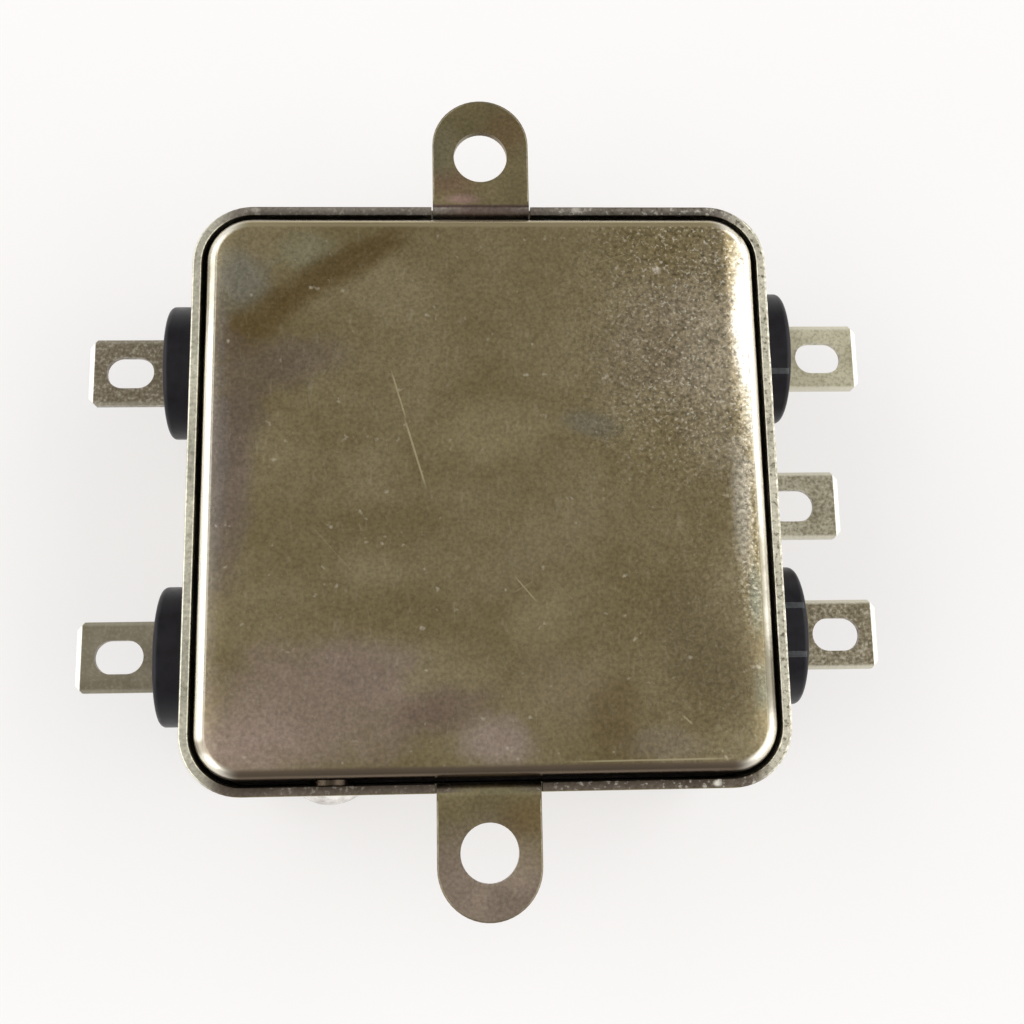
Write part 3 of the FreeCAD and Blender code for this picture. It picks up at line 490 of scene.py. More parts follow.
@dataclass(frozen=True)
class PlatedCan:
    """Drawn steel cup with bent ears, the same plating, paler on the sheared rim and the walls.

    The rim's cut edge is speckled and carries painted light by side: a painted highlight beside the terminals,
    painted shade beside the ears, darkest at the bottom, and painted shade along its inner edge beside the gap; the
    ears are a dull clouded olive, pinkish grey towards the lower tip, with a fine grain; the walls keep faint upright
    draw lines.
    """

    name: str = "steel_drawn_nickel_plated_sheared"
    wall: str = "#a9a390"
    ear: str = "#83785a"
    root_upper: str = "#5f4f49"
    root_lower: str = "#8e8567"
    # Rim tones by side are painted light: a painted highlight at the left and right, painted shade at the top and a
    # darker painted shade at the bottom; the dark inner tone is painted shade beside the gap.
    rim_left_painted_highlight: str = "#cfccba"
    rim_right_painted_highlight: str = "#dedac6"
    rim_top_painted_shade: str = "#979087"
    rim_bottom_painted_shade: str = "#756a60"
    inner_edge_painted_shade: str = "#2e2922"
    dark_speck: str = "#5d5643"
    pale_speck: str = "#f3efe0"
    grain_mm: float = 0.3
    speck_mm: float = 0.34
    cloud_mm: float = 6.0
    line_mm: float = 0.5
    line_length: float = 30.0
    roughness: Pair = (0.24, 0.42)
    marks: tuple[StainOrPaintedLight, ...] = (
        StainOrPaintedLight((18.9, -24.98), (0.5, 0.35), "#f6f2e6", 1.0),
        StainOrPaintedLight((8.5, 25.1), (0.5, 0.4), "#d8d2c8", 0.9),
        StainOrPaintedLight((-20.0, 25.1), (0.5, 0.3), "#c9c3b8", 0.8),
        StainOrPaintedLight((0.0, 25.0), (5.6, 0.9), "#766660", 0.9),
        StainOrPaintedLight((0.0, -25.2), (5.0, 0.9), "#8e8567", 0.95),
    )
    ear_stains: tuple[StainOrPaintedLight, ...] = (
        StainOrPaintedLight((0.0, -33.2), (9.0, 6.4), "#a29283", 1.0),
        StainOrPaintedLight((-2.6, 27.6), (3.4, 2.0), "#866f5a", 0.75),
        StainOrPaintedLight((2.4, 32.6), (2.6, 2.4), "#847052", 0.7),
        StainOrPaintedLight((-3.3, 30.6), (1.8, 3.2), "#857f66", 0.7),
        StainOrPaintedLight((-1.9, 26.1), (2.4, 0.7), "#a88a82", 0.8),
        StainOrPaintedLight((3.2, -27.4), (3.0, 2.4), "#7d6a48", 0.7),
    )

    def rim(self, add: Maker, mm: Link, away: Link, core: float, half: float) -> Link:
        """Tones of the sheared rim: painted light that differs from side to side, and painted shade along the inner
        edge beside the gap.

        Args:
            add: the node maker.
            mm: coordinates in millimetres.
            away: distance from the middle along X.
            core: half width of the square through the centres of the corners.
            half: half width of the can.

        Returns:
            The tone.
        """
        x, y, _ = add("SeparateXYZ", {0: mm}).outputs
        # Painted shade at the top and bottom, painted highlight at the left and right, blended by place.
        above = add("MapRange", {"From Min": -1.0, "From Max": 1.0, "Value": y})
        level = add("Mix RGBA", {6: self.rim_bottom_painted_shade, 7: self.rim_top_painted_shade, 0: above})
        right = add("MapRange", {"From Min": -1.0, "From Max": 1.0, "Value": x})
        flank = add("Mix RGBA", {6: self.rim_left_painted_highlight, 7: self.rim_right_painted_highlight, 0: right})
        beside = add("MapRange SMOOTHSTEP", {"From Min": half - 4.0, "From Max": half - 1.2, "Value": away})
        tone = add("Mix RGBA", {6: level, 7: flank, 0: beside})
        far = corner_distance(add, mm, core)
        radius = half - core
        # Painted shade along the inner edge beside the gap, at the top and bottom only.
        inner = {"From Min": radius - 0.85, "From Max": radius - 0.1, "To Min": 0.6, "To Max": 0.0, "Value": far}
        inner = add("MapRange SMOOTHSTEP", inner)
        along = {"From Min": core - 1.0, "From Max": core + 3.0, "To Min": 1.0, "To Max": 0.0, "Value": away}
        along = add("MapRange SMOOTHSTEP", along)
        inner = add("Math MULTIPLY", {0: inner, 1: along})
        return add("Mix RGBA", {6: tone, 7: self.inner_edge_painted_shade, 0: inner})

    def specks(self, add: Maker, mm: Link, tone: Link) -> Link:
        """Lays dark and pale specks over a tone, more of them towards the right.

        Args:
            add: the node maker.
            mm: coordinates in millimetres.
            tone: the tone under them.

        Returns:
            The speckled tone.
        """
        x, _, _ = add("SeparateXYZ", {0: mm}).outputs
        more = add("MapRange SMOOTHSTEP", {"From Min": 0.0, "From Max": 20.0, "To Min": 0.35, "Value": x})
        noise = add("TexNoise", {"Scale": 1 / self.speck_mm, "Detail": 2.0, "Vector": mm})
        for speck, none, full, most in ((self.dark_speck, 0.55, 0.68, 0.8), (self.pale_speck, 0.42, 0.32, 0.55)):
            share = add("MapRange", {"From Min": none, "From Max": full, "To Max": most, "Value": noise})
            tone = add("Mix RGBA", {6: tone, 7: speck, 0: add("Math MULTIPLY", {0: share, 1: more})})
        return tone

    def build(self, core: float, half: float, top: float) -> Material:
        """Makes the material.

        Args:
            core: half width of the square through the centres of the corners.
            half: half width of the can.
            top: level of the rim.

        Returns:
            The finished material.
        """
        material, add, mm = new_material(self.name)
        _, y, z = add("SeparateXYZ", {0: mm}).outputs
        size = add("VectorMath ABSOLUTE", {0: mm})
        off_x, off_y, _ = add("SeparateXYZ", {0: size}).outputs
        cloud = add("TexNoise", {"Scale": 1 / self.cloud_mm, "Detail": 5.0, "Roughness": 0.65, "Vector": mm})
        grain = add("TexNoise", {"Scale": 1 / self.grain_mm, "Detail": 3.0, "Vector": mm})
        rim = self.specks(add, mm, self.rim(add, mm, off_x, core, half))
        for mark in self.marks:
            rim = add("Mix RGBA", {6: rim, 7: mark.tone, 0: mark.mask(add, mm, cloud)})
        root = add("MapRange SMOOTHSTEP", {"From Min": half - 0.15, "From Max": half, "Value": off_y})
        above = add("MapRange", {"From Min": -1.0, "From Max": 1.0, "Value": y})
        bend = add("Mix RGBA", {6: self.root_lower, 7: self.root_upper, 0: above})
        upper = add("Mix RGBA", {6: rim, 7: bend, 0: root})
        ear: Link | str = self.ear
        for patch in self.ear_stains:
            ear = add("Mix RGBA", {6: ear, 7: patch.tone, 0: patch.mask(add, mm, cloud)})
        out = add("MapRange SMOOTHSTEP", {"From Min": half + 0.05, "From Max": half + 0.3, "Value": off_y})
        upper = add("Mix RGBA", {6: upper, 7: ear, 0: out})
        high = add("MapRange SMOOTHSTEP", {"From Min": top - 1.1, "From Max": top - 0.6, "Value": z})
        tone = add("Mix RGBA", {6: self.wall, 7: upper, 0: high})
        shade = add("MapRange", {**MIDDLE, "To Min": 0.84, "To Max": 1.12, "Value": cloud})
        tone = add("VectorMath SCALE", {0: tone, "Scale": shade})
        dim = add("MapRange", {"From Min": 0.32, "From Max": 0.68, "To Min": 0.82, "To Max": 1.18, "Value": grain})
        tone = add("VectorMath SCALE", {0: tone, "Scale": dim})
        stretched = add("Mapping TEXTURE", {"Scale": (self.line_mm, self.line_mm, self.line_length), "Vector": mm})
        lines = add("TexNoise", {"Scale": 1.0, "Detail": 3.0, "Vector": stretched})
        draw = add("Bump", {"Strength": 0.3, "Distance": 0.02 * MM, "Height": lines})
        fine = add("Bump", {"Strength": 0.35, "Distance": 0.03 * MM, "Height": grain, "Normal": draw})
        surface(add, tone, self.roughness, cloud, {"Metallic": 1.0, "Normal": fine})
        return material


@dataclass(frozen=True)
class TinnedTab:
    """Stamped brass, tin plated: a grey metal with a coarse olive speckle, paler where it was cut, with a painted
    highlight along the long edges and on the bevel at the tip.
    """

    pale: str
    dull: str
    # Strength of the painted highlight along the long edges.
    edge_highlight: float = 0.75
    speckled: float = 0.7
    speck: str = "#4f4a39"
    cut: str = "#e4e0cf"
    # Tone of the painted highlight on the bevel at the tip.
    tip: str = "#cfcdc5"
    grain_mm: float = 0.32
    cloud_mm: float = 3.5
    roughness: Pair = (0.28, 0.44)
    half_width: float = 3.15

    def build(self, node: str) -> Material:
        """Makes the material from the tab's own box.

        Args:
            node: the tab's solid.

        Returns:
            The finished material.
        """
        low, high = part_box(node)
        middle = (low.y + high.y) / 2 / MM
        tip_x = max(abs(low.x), abs(high.x)) / MM
        material, add, mm = new_material("brass_stamped_tin_plated_" + node)
        cloud = add("TexNoise", {"Scale": 1 / self.cloud_mm, "Detail": 4.0, "Roughness": 0.6, "Vector": mm})
        grain = add("TexNoise", {"Scale": 1 / self.grain_mm, "Detail": 3.0, "Roughness": 0.6, "Vector": mm})
        share = add("MapRange", {"From Min": 0.35, "From Max": 0.65, "Value": cloud})
        tone = add("Mix RGBA", {6: self.dull, 7: self.pale, 0: share})
        dark = add("MapRange", {"From Min": 0.49, "From Max": 0.63, "To Max": 0.8 * self.speckled, "Value": grain})
        tone = add("Mix RGBA", {6: tone, 7: self.speck, 0: dark})
        bare = add("MapRange", {"From Min": 0.46, "From Max": 0.34, "To Max": 0.5 * self.speckled, "Value": grain})
        tone = add("Mix RGBA", {6: tone, 7: self.cut, 0: bare})
        own = add("VectorMath SUBTRACT", {0: mm, 1: (0, middle, 0)})
        x, y, _ = add("SeparateXYZ", {0: add("VectorMath ABSOLUTE", {0: own})}).outputs
        side = self.half_width
        # A painted highlight along the long edges, in the pale cut tone.
        edge_highlight = add("MapRange", {"From Min": side - 0.42, "From Max": side - 0.2, "To Max": self.edge_highlight, "Value": y})
        tone = add("Mix RGBA", {6: tone, 7: self.cut, 0: edge_highlight})
        # A painted highlight on the bevel at the tip.
        tip = add("MapRange", {"From Min": tip_x - 0.5, "From Max": tip_x - 0.4, "To Max": 0.9, "Value": x})
        tone = add("Mix RGBA", {6: tone, 7: self.tip, 0: tip})
        bump = add("Bump", {"Strength": 0.4, "Distance": 0.03 * MM, "Height": grain})
        surface(add, tone, self.roughness, grain, {"Metallic": 1.0, "Normal": bump})
        return material


@dataclass(frozen=True)
class Mottled:
    """A finish of two close tones in a fine pattern, for moulded, coated and plain metal pieces."""

    name: str
    tone: str
    second: str
    grain_mm: float
    roughness: float
    metallic: float = 0.0
    ior: float = 1.5
    bump_mm: float = 0.01
    coat: float = 0.0
    specular: float = 0.5

    def build(self) -> Material:
        """Makes the material.

        Returns:
            The finished material.
        """
        material, add, mm = new_material(self.name)
        grain = add("TexNoise", {"Scale": 1 / self.grain_mm, "Detail": 4.0, "Roughness": 0.6, "Vector": mm})
        share = add("MapRange", {"From Min": 0.35, "From Max": 0.68, "Value": grain})
        tone = add("Mix RGBA", {6: self.tone, 7: self.second, 0: share})
        bump = add("Bump", {"Strength": 0.4, "Distance": self.bump_mm * MM, "Height": grain})
        plain = {"Metallic": self.metallic, "Coat Weight": self.coat, "Specular IOR Level": self.specular}
        if self.metallic < 1.0:
            plain["IOR"] = self.ior
        swing = (self.roughness - 0.05, self.roughness + 0.08)
        surface(add, tone, swing, grain, {**plain, "Normal": bump})
        return material


def dress(node: bpy.types.Object, material: Material) -> None:
    """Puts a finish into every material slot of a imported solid.

    Args:
        node: the solid.
        material: its finish.
    """
    for item in node.material_slots:
        item.material = material
    LOG.info("dressed %s with %s", node.name, material.name)


def add_tube(name: str, rings: np.ndarray, poles: np.ndarray, material: Material, slot: str) -> None:
    """Makes a new closed piece from rings of points, and lets it ride on the body.

    Neighbouring rings are joined by quads, and the first and last ring each to a pole by a fan
    of triangles. Faces point outwards where every ring turns anticlockwise, seen against the
    way that the rings follow one another.

    Args:
        name: the piece's name.
        rings: points in millimetres, by ring and by place in the ring.
        poles: the point before the first ring and the point after the last.
        material: its finish.
        slot: the record's material slot; not used.
    """
    count, around = rings.shape[:2]
    points = np.concatenate([rings.reshape(-1, 3), poles])
    i, j = np.meshgrid(np.arange(count - 1), np.arange(around), indexing="ij")
    follow = (j + 1) % around
    quads = np.stack([i * around + j, i * around + follow, (i + 1) * around + follow, (i + 1) * around + j], -1)
    near = np.arange(around)
    ahead = (near + 1) % around
    last = (count - 1) * around
    first_fan = np.stack([np.full(around, count * around), ahead, near], -1)
    last_fan = np.stack([np.full(around, count * around + 1), last + near, last + ahead], -1)
    faces = quads.reshape(-1, 4).tolist() + first_fan.tolist() + last_fan.tolist()
    mesh = bpy.data.meshes.new(name)
    mesh.from_pydata((points * MM).tolist(), [], faces)
    mesh.polygons.foreach_set("use_smooth", np.ones(len(faces), bool))
    mesh.update()
    mesh.materials.append(material)
    piece = bpy.data.objects.new(name, mesh)
    bpy.context.scene.collection.objects.link(piece)
    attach(piece, BODY)
    LOG.info("made %s: %d faces", name, len(faces))


def bead(path: np.ndarray, radius: float, wander: float, around: int = 10) -> Tube:
    """Thin burr along a level path, drawn in to a point at both ends.

    Each point is the path's point plus a radius times (cosine times the sideways direction
    plus sine times the upward direction), for angles evenly round the circle. The radius
    wanders along the path by three sine waves out of step.

    Args:
        path: points of the path in millimetres, one row each.
        radius: mean radius.
        wander: how much of it wanders.
        around: points round the circle.

    Returns:
        The rings and the two poles.
    """
    up = np.array([0.0, 0.0, 1.0])
    ahead = np.gradient(path, axis=0)
    ahead /= np.linalg.norm(ahead, axis=1)[:, None]
    sideways = np.cross(up, ahead)
    angle = np.linspace(0, 2 * np.pi, around, endpoint=False)
    ring = np.cos(angle)[None, :, None] * sideways[:, None, :] + np.sin(angle)[None, :, None] * up
    along = np.concatenate([[0.0], np.cumsum(np.linalg.norm(np.diff(path, axis=0), axis=1))])
    waves = np.sin(along * 0.9 + radius) + 0.7 * np.sin(along * 2.3) + 0.5 * np.sin(along * 5.1 + 1)
    highest = 2.2
    taper = 6 * radius
    ends = np.clip(np.minimum(along, along[-1] - along) / taper, 0, 1) ** 0.5
    size = radius * (1 + wander * waves / highest) * ends
    rings = path[:, None, :] + size[:, None, None] * ring
    return rings[1:-1], path[[0, -1]]


@dataclass
class Can:
    """The drawn can with its ears, and the burr that the shears left along its edges.

    The insets of the burr from the edge are counted in its own radius.
    """

    corner_r: float = 5.2
    sheet: float = 0.8
    rim_burr: float = 0.09
    inner_burr: float = 0.06
    ear_burr: float = 0.055
    rim_inset: float = 1.2
    ear_inset: float = 1.5
    step: float = 0.3
    corner_turn: float = 52.0
    ear_width: float = 8.6

    def __post_init__(self) -> None:
        """Takes the can's own size from the frame."""
        _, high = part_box("can")
        self.half = high.x / MM
        self.top = high.z / MM
        self.ear_tip = high.y / MM
        self.core = self.half - self.corner_r

    def rim_path(self, inset: float) -> np.ndarray:
        """Path along the right side of the rim, with part of the corner at both ends.

        On the straight the place moves evenly, on the corners the angle does.

        Args:
            inset: how far inside the can's outer face the path lies.

        Returns:
            Points in millimetres.
        """
        radius = self.corner_r - inset
        turn = np.radians(np.linspace(self.corner_turn, 0, 20))
        corner = self.core + radius * np.stack([np.cos(turn), np.sin(turn)], -1)
        down = np.linspace(self.core, -self.core, round(2 * self.core / self.step))[1:-1]
        straight = np.stack([np.full_like(down, self.half - inset), down], -1)
        flat = np.concatenate([corner, straight, corner[::-1] * (1, -1)])
        return np.column_stack([flat, np.full(len(flat), self.top - inset * 0.1)])

    def ear_path(self, side: int) -> np.ndarray:
        """Path along the sheared edge of one ear: out, half a turn round the tip, and back.

        Args:
            side: 1 for the ear at +Y, -1 for the other.

        Returns:
            Points in millimetres.
        """
        inset = self.ear_burr * self.ear_inset
        half = self.ear_width / 2 - inset
        middle = self.ear_tip - self.ear_width / 2
        out = np.arange(self.half + 0.3, middle, self.step)
        turn = np.linspace(0, np.pi, 40)
        first = np.stack([np.full_like(out, half), out], -1)
        tip = np.stack([half * np.cos(turn), middle + half * np.sin(turn)], -1)
        flat = np.concatenate([first, tip, first[::-1] * (-1, 1)]) * (1, side)
        return np.column_stack([flat, np.full(len(flat), self.top - self.ear_burr * 0.6)])

    def build(self, nodes: Solids) -> None:
        """Dresses the can and lays the burr along its edges.

        Args:
            nodes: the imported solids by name.
        """
        dress(nodes["can"], PlatedCan().build(self.core, self.half, self.top))
        edge = Mottled("steel_sheared_edge", "#f2efe2", "#a39e88", 0.35, 0.3, metallic=1.0, bump_mm=0.03).build()
        dull = Mottled("steel_sheared_edge_dull", "#9a917c", "#7a715c", 0.5, 0.3, metallic=1.0).build()
        outer = bead(self.rim_path(self.rim_burr * self.rim_inset), self.rim_burr, 0.25)
        add_tube("rim_burr_outer", *outer, edge, "can_steel")
        inner = bead(self.rim_path(self.sheet - self.inner_burr * self.rim_inset), self.inner_burr, 0.35)
        add_tube("rim_burr_inner", *inner, edge, "can_steel")
        for side, word in ((1, "upper"), (-1, "lower")):
            add_tube(f"ear_burr_{word}", *bead(self.ear_path(side), self.ear_burr, 0.2), dull, "can_steel")


@dataclass
class Cover:
    """The drawn pan that closes the can."""

    edge_r: float = 1.0

    def build(self, nodes: Solids, core: float) -> None:
        """Dresses the cover.

        Args:
            nodes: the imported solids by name.
            core: half width of the square through the centres of the can's corners.
        """
        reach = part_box("cover")[1].x / MM - core
        dress(nodes["cover"], PlatedCover().build(core, (reach - self.edge_r, reach)))


@dataclass
class Terminal:
    """One feed-through: a black moulded bushing round a slotted tab."""

    place: str
    side: Side
    finish: TinnedTab
    ribs: tuple[float, ...] = ()
    rib_width: float = 0.62
    rib_height: float = 0.11
    rib_sink: float = 0.03
    rib_root: float = 0.1
    rib_margin: float = 0.5

    def rib(self, offset: float) -> Tube:
        """Low rib along the round of the flange.

        Across, the height over the flange's cylinder falls from its full value by the fourth
        power of the place across; along, it falls by the eighth power towards both ends. The
        underside lies inside the flange.

        Args:
            offset: distance along Y from the bushing's middle.

        Returns:
            The rings and the two poles.
        """
        low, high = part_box("bushing_" + self.place)
        radius = (high.y - low.y) / 2 / MM
        middle = np.array([0.0, (high.y + low.y) / 2 / MM, (high.z + low.z) / 2 / MM])
        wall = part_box("can")[1].x / MM
        face = max(abs(low.x), abs(high.x)) / MM
        along, across = np.meshgrid(np.linspace(-1, 1, 25), -self.side.value * np.linspace(-1, 1, 13), indexing="ij")
        lift = self.rib_height * (1 - across ** 4) * (1 - along ** 8) - self.rib_sink
        angle = (offset + across * self.rib_width / 2) / radius
        x = self.side.value * ((wall + face) / 2 + along * (face - wall - self.rib_margin) / 2)
        out = radius + lift
        deep = radius - self.rib_root
        top = np.stack([x, out * np.sin(angle), out * np.cos(angle)], -1)
        under = np.stack([x, deep * np.sin(angle), deep * np.cos(angle)], -1)[:, ::-1]
        rings = np.concatenate([top, under], axis=1) + middle
        return rings, rings[[0, -1]].mean(axis=1)

    def build(self, nodes: Solids, finishes: dict[str, Material]) -> None:
        """Dresses the terminal and adds its ribs.

        Args:
            nodes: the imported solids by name.
            finishes: materials by part.
        """
        for part in ("bushing", "washer", "solder"):
            dress(nodes[f"{part}_{self.place}"], finishes[part])
        dress(nodes["tab_" + self.place], self.finish.build("tab_" + self.place))
        for number, offset in enumerate(self.ribs):
            name = f"bushing_rib_{self.place}_{number}"
            add_tube(name, *self.rib(offset), finishes["rib"], "bushing_plastic")


@dataclass
class Earth:
    """The earth tab welded to the wall, and the earth rivet with its lug."""

    weld_d: float = 2.2
    weld_h: float = 0.1
    weld_spacing: float = 3.0
    weld_level: float = 2.4
    weld_sink: float = 0.01
    weld_root: float = 0.06
    foot: float = 0.8

    def weld(self, middle: tuple[float, float, float]) -> Tube:
        """Spot-weld mark: a shallow dish with a raised ring, turned about the X axis.

        The height is a ring of the shape (1 - s^2) * (0.35 + s^2) where s runs from the
        middle to the edge, and the last ring lies inside the foot.

        Args:
            middle: point on the foot's face.

        Returns:
            The rings and the two poles.
        """
        s = np.linspace(0, 1, 17)
        height = self.weld_h * (1 - s ** 2) * (0.35 + s ** 2) * 2 - self.weld_sink
        height = np.append(height, -self.weld_root)
        radius = np.append(s, 1.0) * self.weld_d / 2
        turn = np.linspace(0, 2 * np.pi, 36, endpoint=False)
        across = radius[:, None] * np.cos(turn)
        upright = -radius[:, None] * np.sin(turn)
        rings = np.stack([np.broadcast_to(height[:, None], across.shape), across, upright], -1) + middle
        poles = np.array([[height[0], 0, 0], [height[-1], 0, 0]]) + middle
        return rings[1:], poles

    def build(self, nodes: Solids, finishes: dict[str, Material]) -> None:
        """Dresses the earth pieces and adds the weld marks.

        Args:
            nodes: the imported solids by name.
            finishes: materials by part.
        """
        dress(nodes["earth_tab"], TinnedTab("#bdb8a2", "#948d77").build("earth_tab"))
        # The near-white and grey blotches on the head are partly the plating's own tone and partly a painted
        # highlight for its glints.
        rivet = Mottled("steel_headed_nickel_plated", "#f6f4ee", "#b4aea6", 1.3, 0.22, metallic=1.0)
        dress(nodes["earth_rivet"], rivet.build())
        dress(nodes["earth_lug"], finishes["lug"])
        dress(nodes["solder_lug"], finishes["solder"])
        low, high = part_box("earth_tab")
        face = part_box("can")[1].x / MM + self.foot
        level = low.z / MM + self.weld_level
        middle = (low.y + high.y) / 2 / MM
        for number, side in enumerate((-1, 1)):
            mark = self.weld((face, middle + side * self.weld_spacing / 2, level))
            add_tube(f"weld_mark_{number}", *mark, finishes["weld"], "tab_metal")


@dataclass
class Circuit:
    """What the closed can holds."""

    finishes: tuple[tuple[tuple[str, ...], Mottled], ...] = (
        (("tray",), Mottled("nylon_moulded_brown", "#37302a", "#2f2924", 1.2, 0.5, bump_mm=0.02)),
        (("choke_pad",), Mottled("fibre_board_pressed", "#7d5b43", "#6a4a35", 0.4, 0.6, bump_mm=0.03)),
        (("core_divider",), Mottled("fibre_sheet_vulcanised", "#8f8b80", "#7d786c", 0.5, 0.55)),
        (("choke_core",), Mottled("ferrite_epoxy_coated", "#2f5a46", "#274c3b", 0.6, 0.35, bump_mm=0.03)),
        (
            ("winding_upper", "winding_lower"),
            Mottled("copper_drawn_enamelled", "#b4642f", "#96481f", 1.5, 0.25, metallic=1.0, coat=0.6),
        ),
        (
            ("x_capacitor_left", "x_capacitor_right"),
            Mottled("polyester_box_moulded", "#c9b23a", "#bca530", 0.8, 0.4, bump_mm=0.02),
        ),
        (
            ("y_capacitor_left", "y_capacitor_right"),
            Mottled("ceramic_disc_lacquered", "#2f5f9a", "#284f84", 0.7, 0.3, coat=0.4),
        ),
        (("bleed_resistor",), Mottled("ceramic_rod_lacquered", "#b58a5e", "#a57a50", 0.7, 0.4, coat=0.3)),
        (
            (
                "resistor_leads",
                "x_capacitor_leads_left",
                "x_capacitor_leads_right",
                "y_capacitor_leads_left",
                "y_capacitor_leads_right",
            ),
            Mottled("copper_wire_tinned", "#cfcdc6", "#b3b0a7", 0.5, 0.25, metallic=1.0),
        ),
    )

    def build(self, nodes: Solids) -> None:
        """Dresses the inner pieces.

        Args:
            nodes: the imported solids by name.
        """
        for names, finish in self.finishes:
            material = finish.build()
            for name in names:
                dress(nodes[name], material)


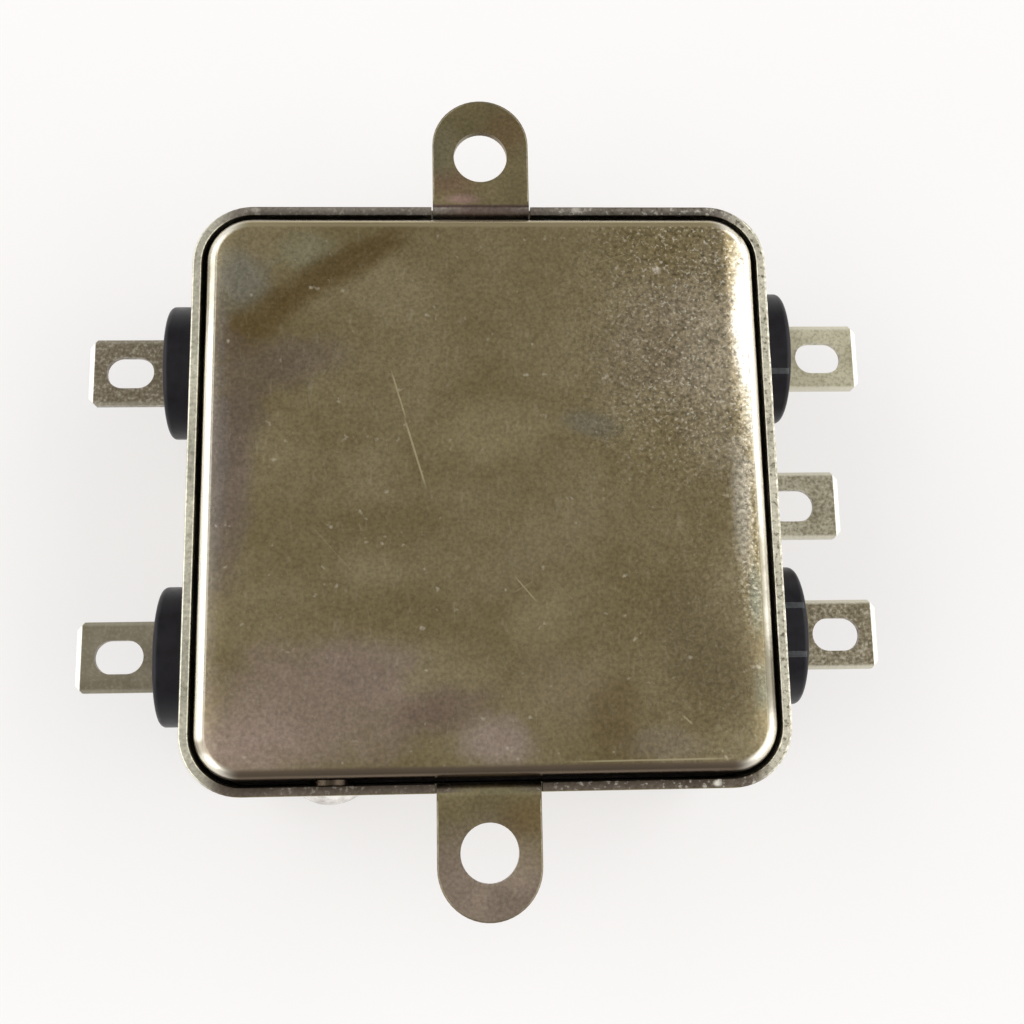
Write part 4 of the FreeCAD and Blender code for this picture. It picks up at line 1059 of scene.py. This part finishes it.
@dataclass
class Studio:
    """Pale floor, two broad soft lights, a plain surround and the camera of the photograph."""

    focal_px: float = 1523.5
    frame_px: float = 1024.0
    centre_px: Pair = (512.0, 400.0)
    sensor: float = 36.0
    place: tuple[float, float, float] = (-4.77, -22.89, 152.57)
    turn: tuple[float, float, float] = (13.38, -2.974, -1.037)
    floor_half: float = 3000.0
    floor_drop: float = 0.02
    cloud_mm: float = 60.0
    glow_share: float = 0.55
    box_distance: float = 620.0
    box_lean: float = 53.0
    box_size: Pair = (620.0, 900.0)
    box_level: float = 1.55
    clip: Pair = (0.005, 20.0)
    board_tones: tuple[str, str] = ("#f4f3f3", "#eeecec")
    board_seen: str = "#fbf9f8"
    sky_low: str = "#a5a29d"
    sky_pale: str = "#f6f6f6"
    sky_high: str = "#bfbdb9"

    def camera(self) -> None:
        """Places the camera, with the shift that the photograph's framing needs."""
        data = bpy.data.cameras.new("camera")
        data.sensor_width = self.sensor
        data.lens = self.focal_px * self.sensor / self.frame_px
        data.shift_x = (self.frame_px / 2 - self.centre_px[0]) / self.frame_px
        data.shift_y = (self.centre_px[1] - self.frame_px / 2) / self.frame_px
        data.clip_start, data.clip_end = self.clip
        camera = bpy.data.objects.new("camera", data)
        camera.location = [c * MM for c in self.place]
        camera.rotation_euler = [math.radians(a) for a in self.turn]
        bpy.context.scene.collection.objects.link(camera)
        bpy.context.scene.camera = camera

    def floor(self) -> None:
        """Lays the floor a hair under the can's closed face: pale board with a faint unevenness."""
        h, low = self.floor_half * MM, -self.floor_drop * MM
        mesh = bpy.data.meshes.new("floor")
        mesh.from_pydata([(-h, -h, low), (h, -h, low), (h, h, low), (-h, h, low)], [], [(0, 1, 2, 3)])
        mesh.materials.append(self.board())
        floor = bpy.data.objects.new("floor", mesh)
        bpy.context.scene.collection.objects.link(floor)

    def board(self) -> Material:
        """Painted board: matte and nearly white, and paler still to the eye and in the metal.

        Returns:
            The finished material.
        """
        material, add, mm = new_material("board_painted_matte")
        cloud = add("TexNoise", {"Scale": 1 / self.cloud_mm, "Detail": 2.0, "Vector": mm})
        tone = add("Mix RGBA", {6: self.board_tones[0], 7: self.board_tones[1], 0: cloud})
        bsdf = add("BsdfPrincipled", {"Roughness": 0.9, "Base Color": tone})
        glow = add("Emission", {"Color": self.board_seen, "Strength": 1.0})
        path = add("LightPath").outputs
        seen = add("Math ADD", {"use_clamp": True, 0: path["Is Camera Ray"], 1: path["Is Glossy Ray"]})
        seen = add("Math ADD", {"use_clamp": True, 0: seen, 1: path["Is Transmission Ray"]})
        share = add("Math MULTIPLY", {0: seen, 1: self.glow_share})
        both = add("MixShader", {0: share, 1: bsdf, 2: glow})
        add("OutputMaterial", {"Surface": both})
        return material

    def lights(self) -> None:
        """Hangs one broad soft light on each side, leaning over the object."""
        for side in Side:
            name = "soft_light_" + side.name.lower()
            data = bpy.data.lights.new(name, "AREA")
            data.shape = "RECTANGLE"
            data.size = self.box_size[0] * MM
            data.size_y = self.box_size[1] * MM
            data.energy = self.box_level * math.pi * data.size * data.size_y
            lean = math.radians(self.box_lean)
            lamp = bpy.data.objects.new(name, data)
            reach = self.box_distance * MM
            lamp.location = (side.value * reach * math.sin(lean), 0, reach * math.cos(lean))
            lamp.rotation_euler = (0, side.value * lean, 0)
            lamp.visible_camera = False
            bpy.context.scene.collection.objects.link(lamp)

    def surround(self) -> None:
        """Sets the surround: white at the horizon, grey overhead."""
        world = bpy.data.worlds.new("surround")
        world.use_nodes = True
        tree = world.node_tree
        tree.nodes.clear()
        add = partial(add_node, tree)
        x, _, z = add("SeparateXYZ", {0: add("TexCoord").outputs["Generated"]}).outputs
        height = add("MapRange SMOOTHSTEP", {"From Min": 0.3, "From Max": 0.8, "Value": z})
        away = add("Math ABSOLUTE", {0: x})
        flank = add("MapRange SMOOTHSTEP", {"From Min": 0.2, "From Max": 0.6, "Value": away})
        level = {"From Min": 0.06, "From Max": 0.3, "To Min": 1.0, "To Max": 0.0, "Value": z}
        pale = add("Math MAXIMUM", {0: flank, 1: add("MapRange SMOOTHSTEP", level)})
        low = add("Mix RGBA", {6: self.sky_low, 7: self.sky_pale, 0: pale})
        tone = add("Mix RGBA", {6: low, 7: self.sky_high, 0: height})
        light = add("Background", {"Strength": 1.0, "Color": tone})
        add("OutputWorld", {"Surface": light})
        bpy.context.scene.world = world

    def build(self) -> None:
        """Sets up the camera, the floor and the light."""
        self.camera()
        self.floor()
        self.lights()
        self.surround()
        bpy.context.scene.view_settings.view_transform = "Standard"
        LOG.info("studio ready")


def main() -> None:
    """Builds the scene, piece by piece."""
    logging.basicConfig(level=logging.INFO, format="%(name)s: %(message)s")
    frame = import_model()
    nodes = frame["nodes"]
    Studio().build()
    can = Can()
    can.build(nodes)
    Cover().build(nodes, can.core)
    finishes = {
        "bushing": Mottled(
            "nylon_moulded_black", "#0f0c12", "#15121a", 0.8, 0.36, ior=1.53, bump_mm=0.03, specular=0.24
        ).build(),
        # The ribs' paler grey is a painted highlight standing in for the glint along them.
        "rib": Mottled("nylon_moulded_black_painted_highlight", "#343838", "#4b4d52", 0.4, 0.35, ior=1.53, specular=0.3).build(),
        "lug": Mottled("brass_stamped_tin_plated_lug", "#c8c3ad", "#a9a48f", 0.5, 0.3, metallic=1.0).build(),
        "washer": Mottled("fibre_sheet_punched", "#8f8b80", "#7d786c", 0.5, 0.55).build(),
        "solder": Mottled("tin_solder_set", "#d6d5d0", "#bcbab3", 0.6, 0.2, metallic=1.0, bump_mm=0.03).build(),
        "weld": Mottled("steel_spot_welded", "#7b766a", "#54504a", 0.4, 0.35, metallic=1.0, bump_mm=0.03).build(),
    }
    for terminal in (
        Terminal("left_upper", Side.LEFT, TinnedTab("#8d8371", "#7d7362", 0.2, 0.7)),
        Terminal("left_lower", Side.LEFT, TinnedTab("#968e7c", "#7c7462", 0.2, 0.25)),
        Terminal("right_upper", Side.RIGHT, TinnedTab("#cdc8af", "#b1ab92", 0.75, 0.45), (-2.7,)),
        Terminal("right_lower", Side.RIGHT, TinnedTab("#a29984", "#867c66", 0.75, 0.85), (2.25, -2.15)),
    ):
        terminal.build(nodes, finishes)
    Earth().build(nodes, finishes)
    Circuit().build(nodes)
    LOG.info("sizes written")


if __name__ == "__main__":
    main()
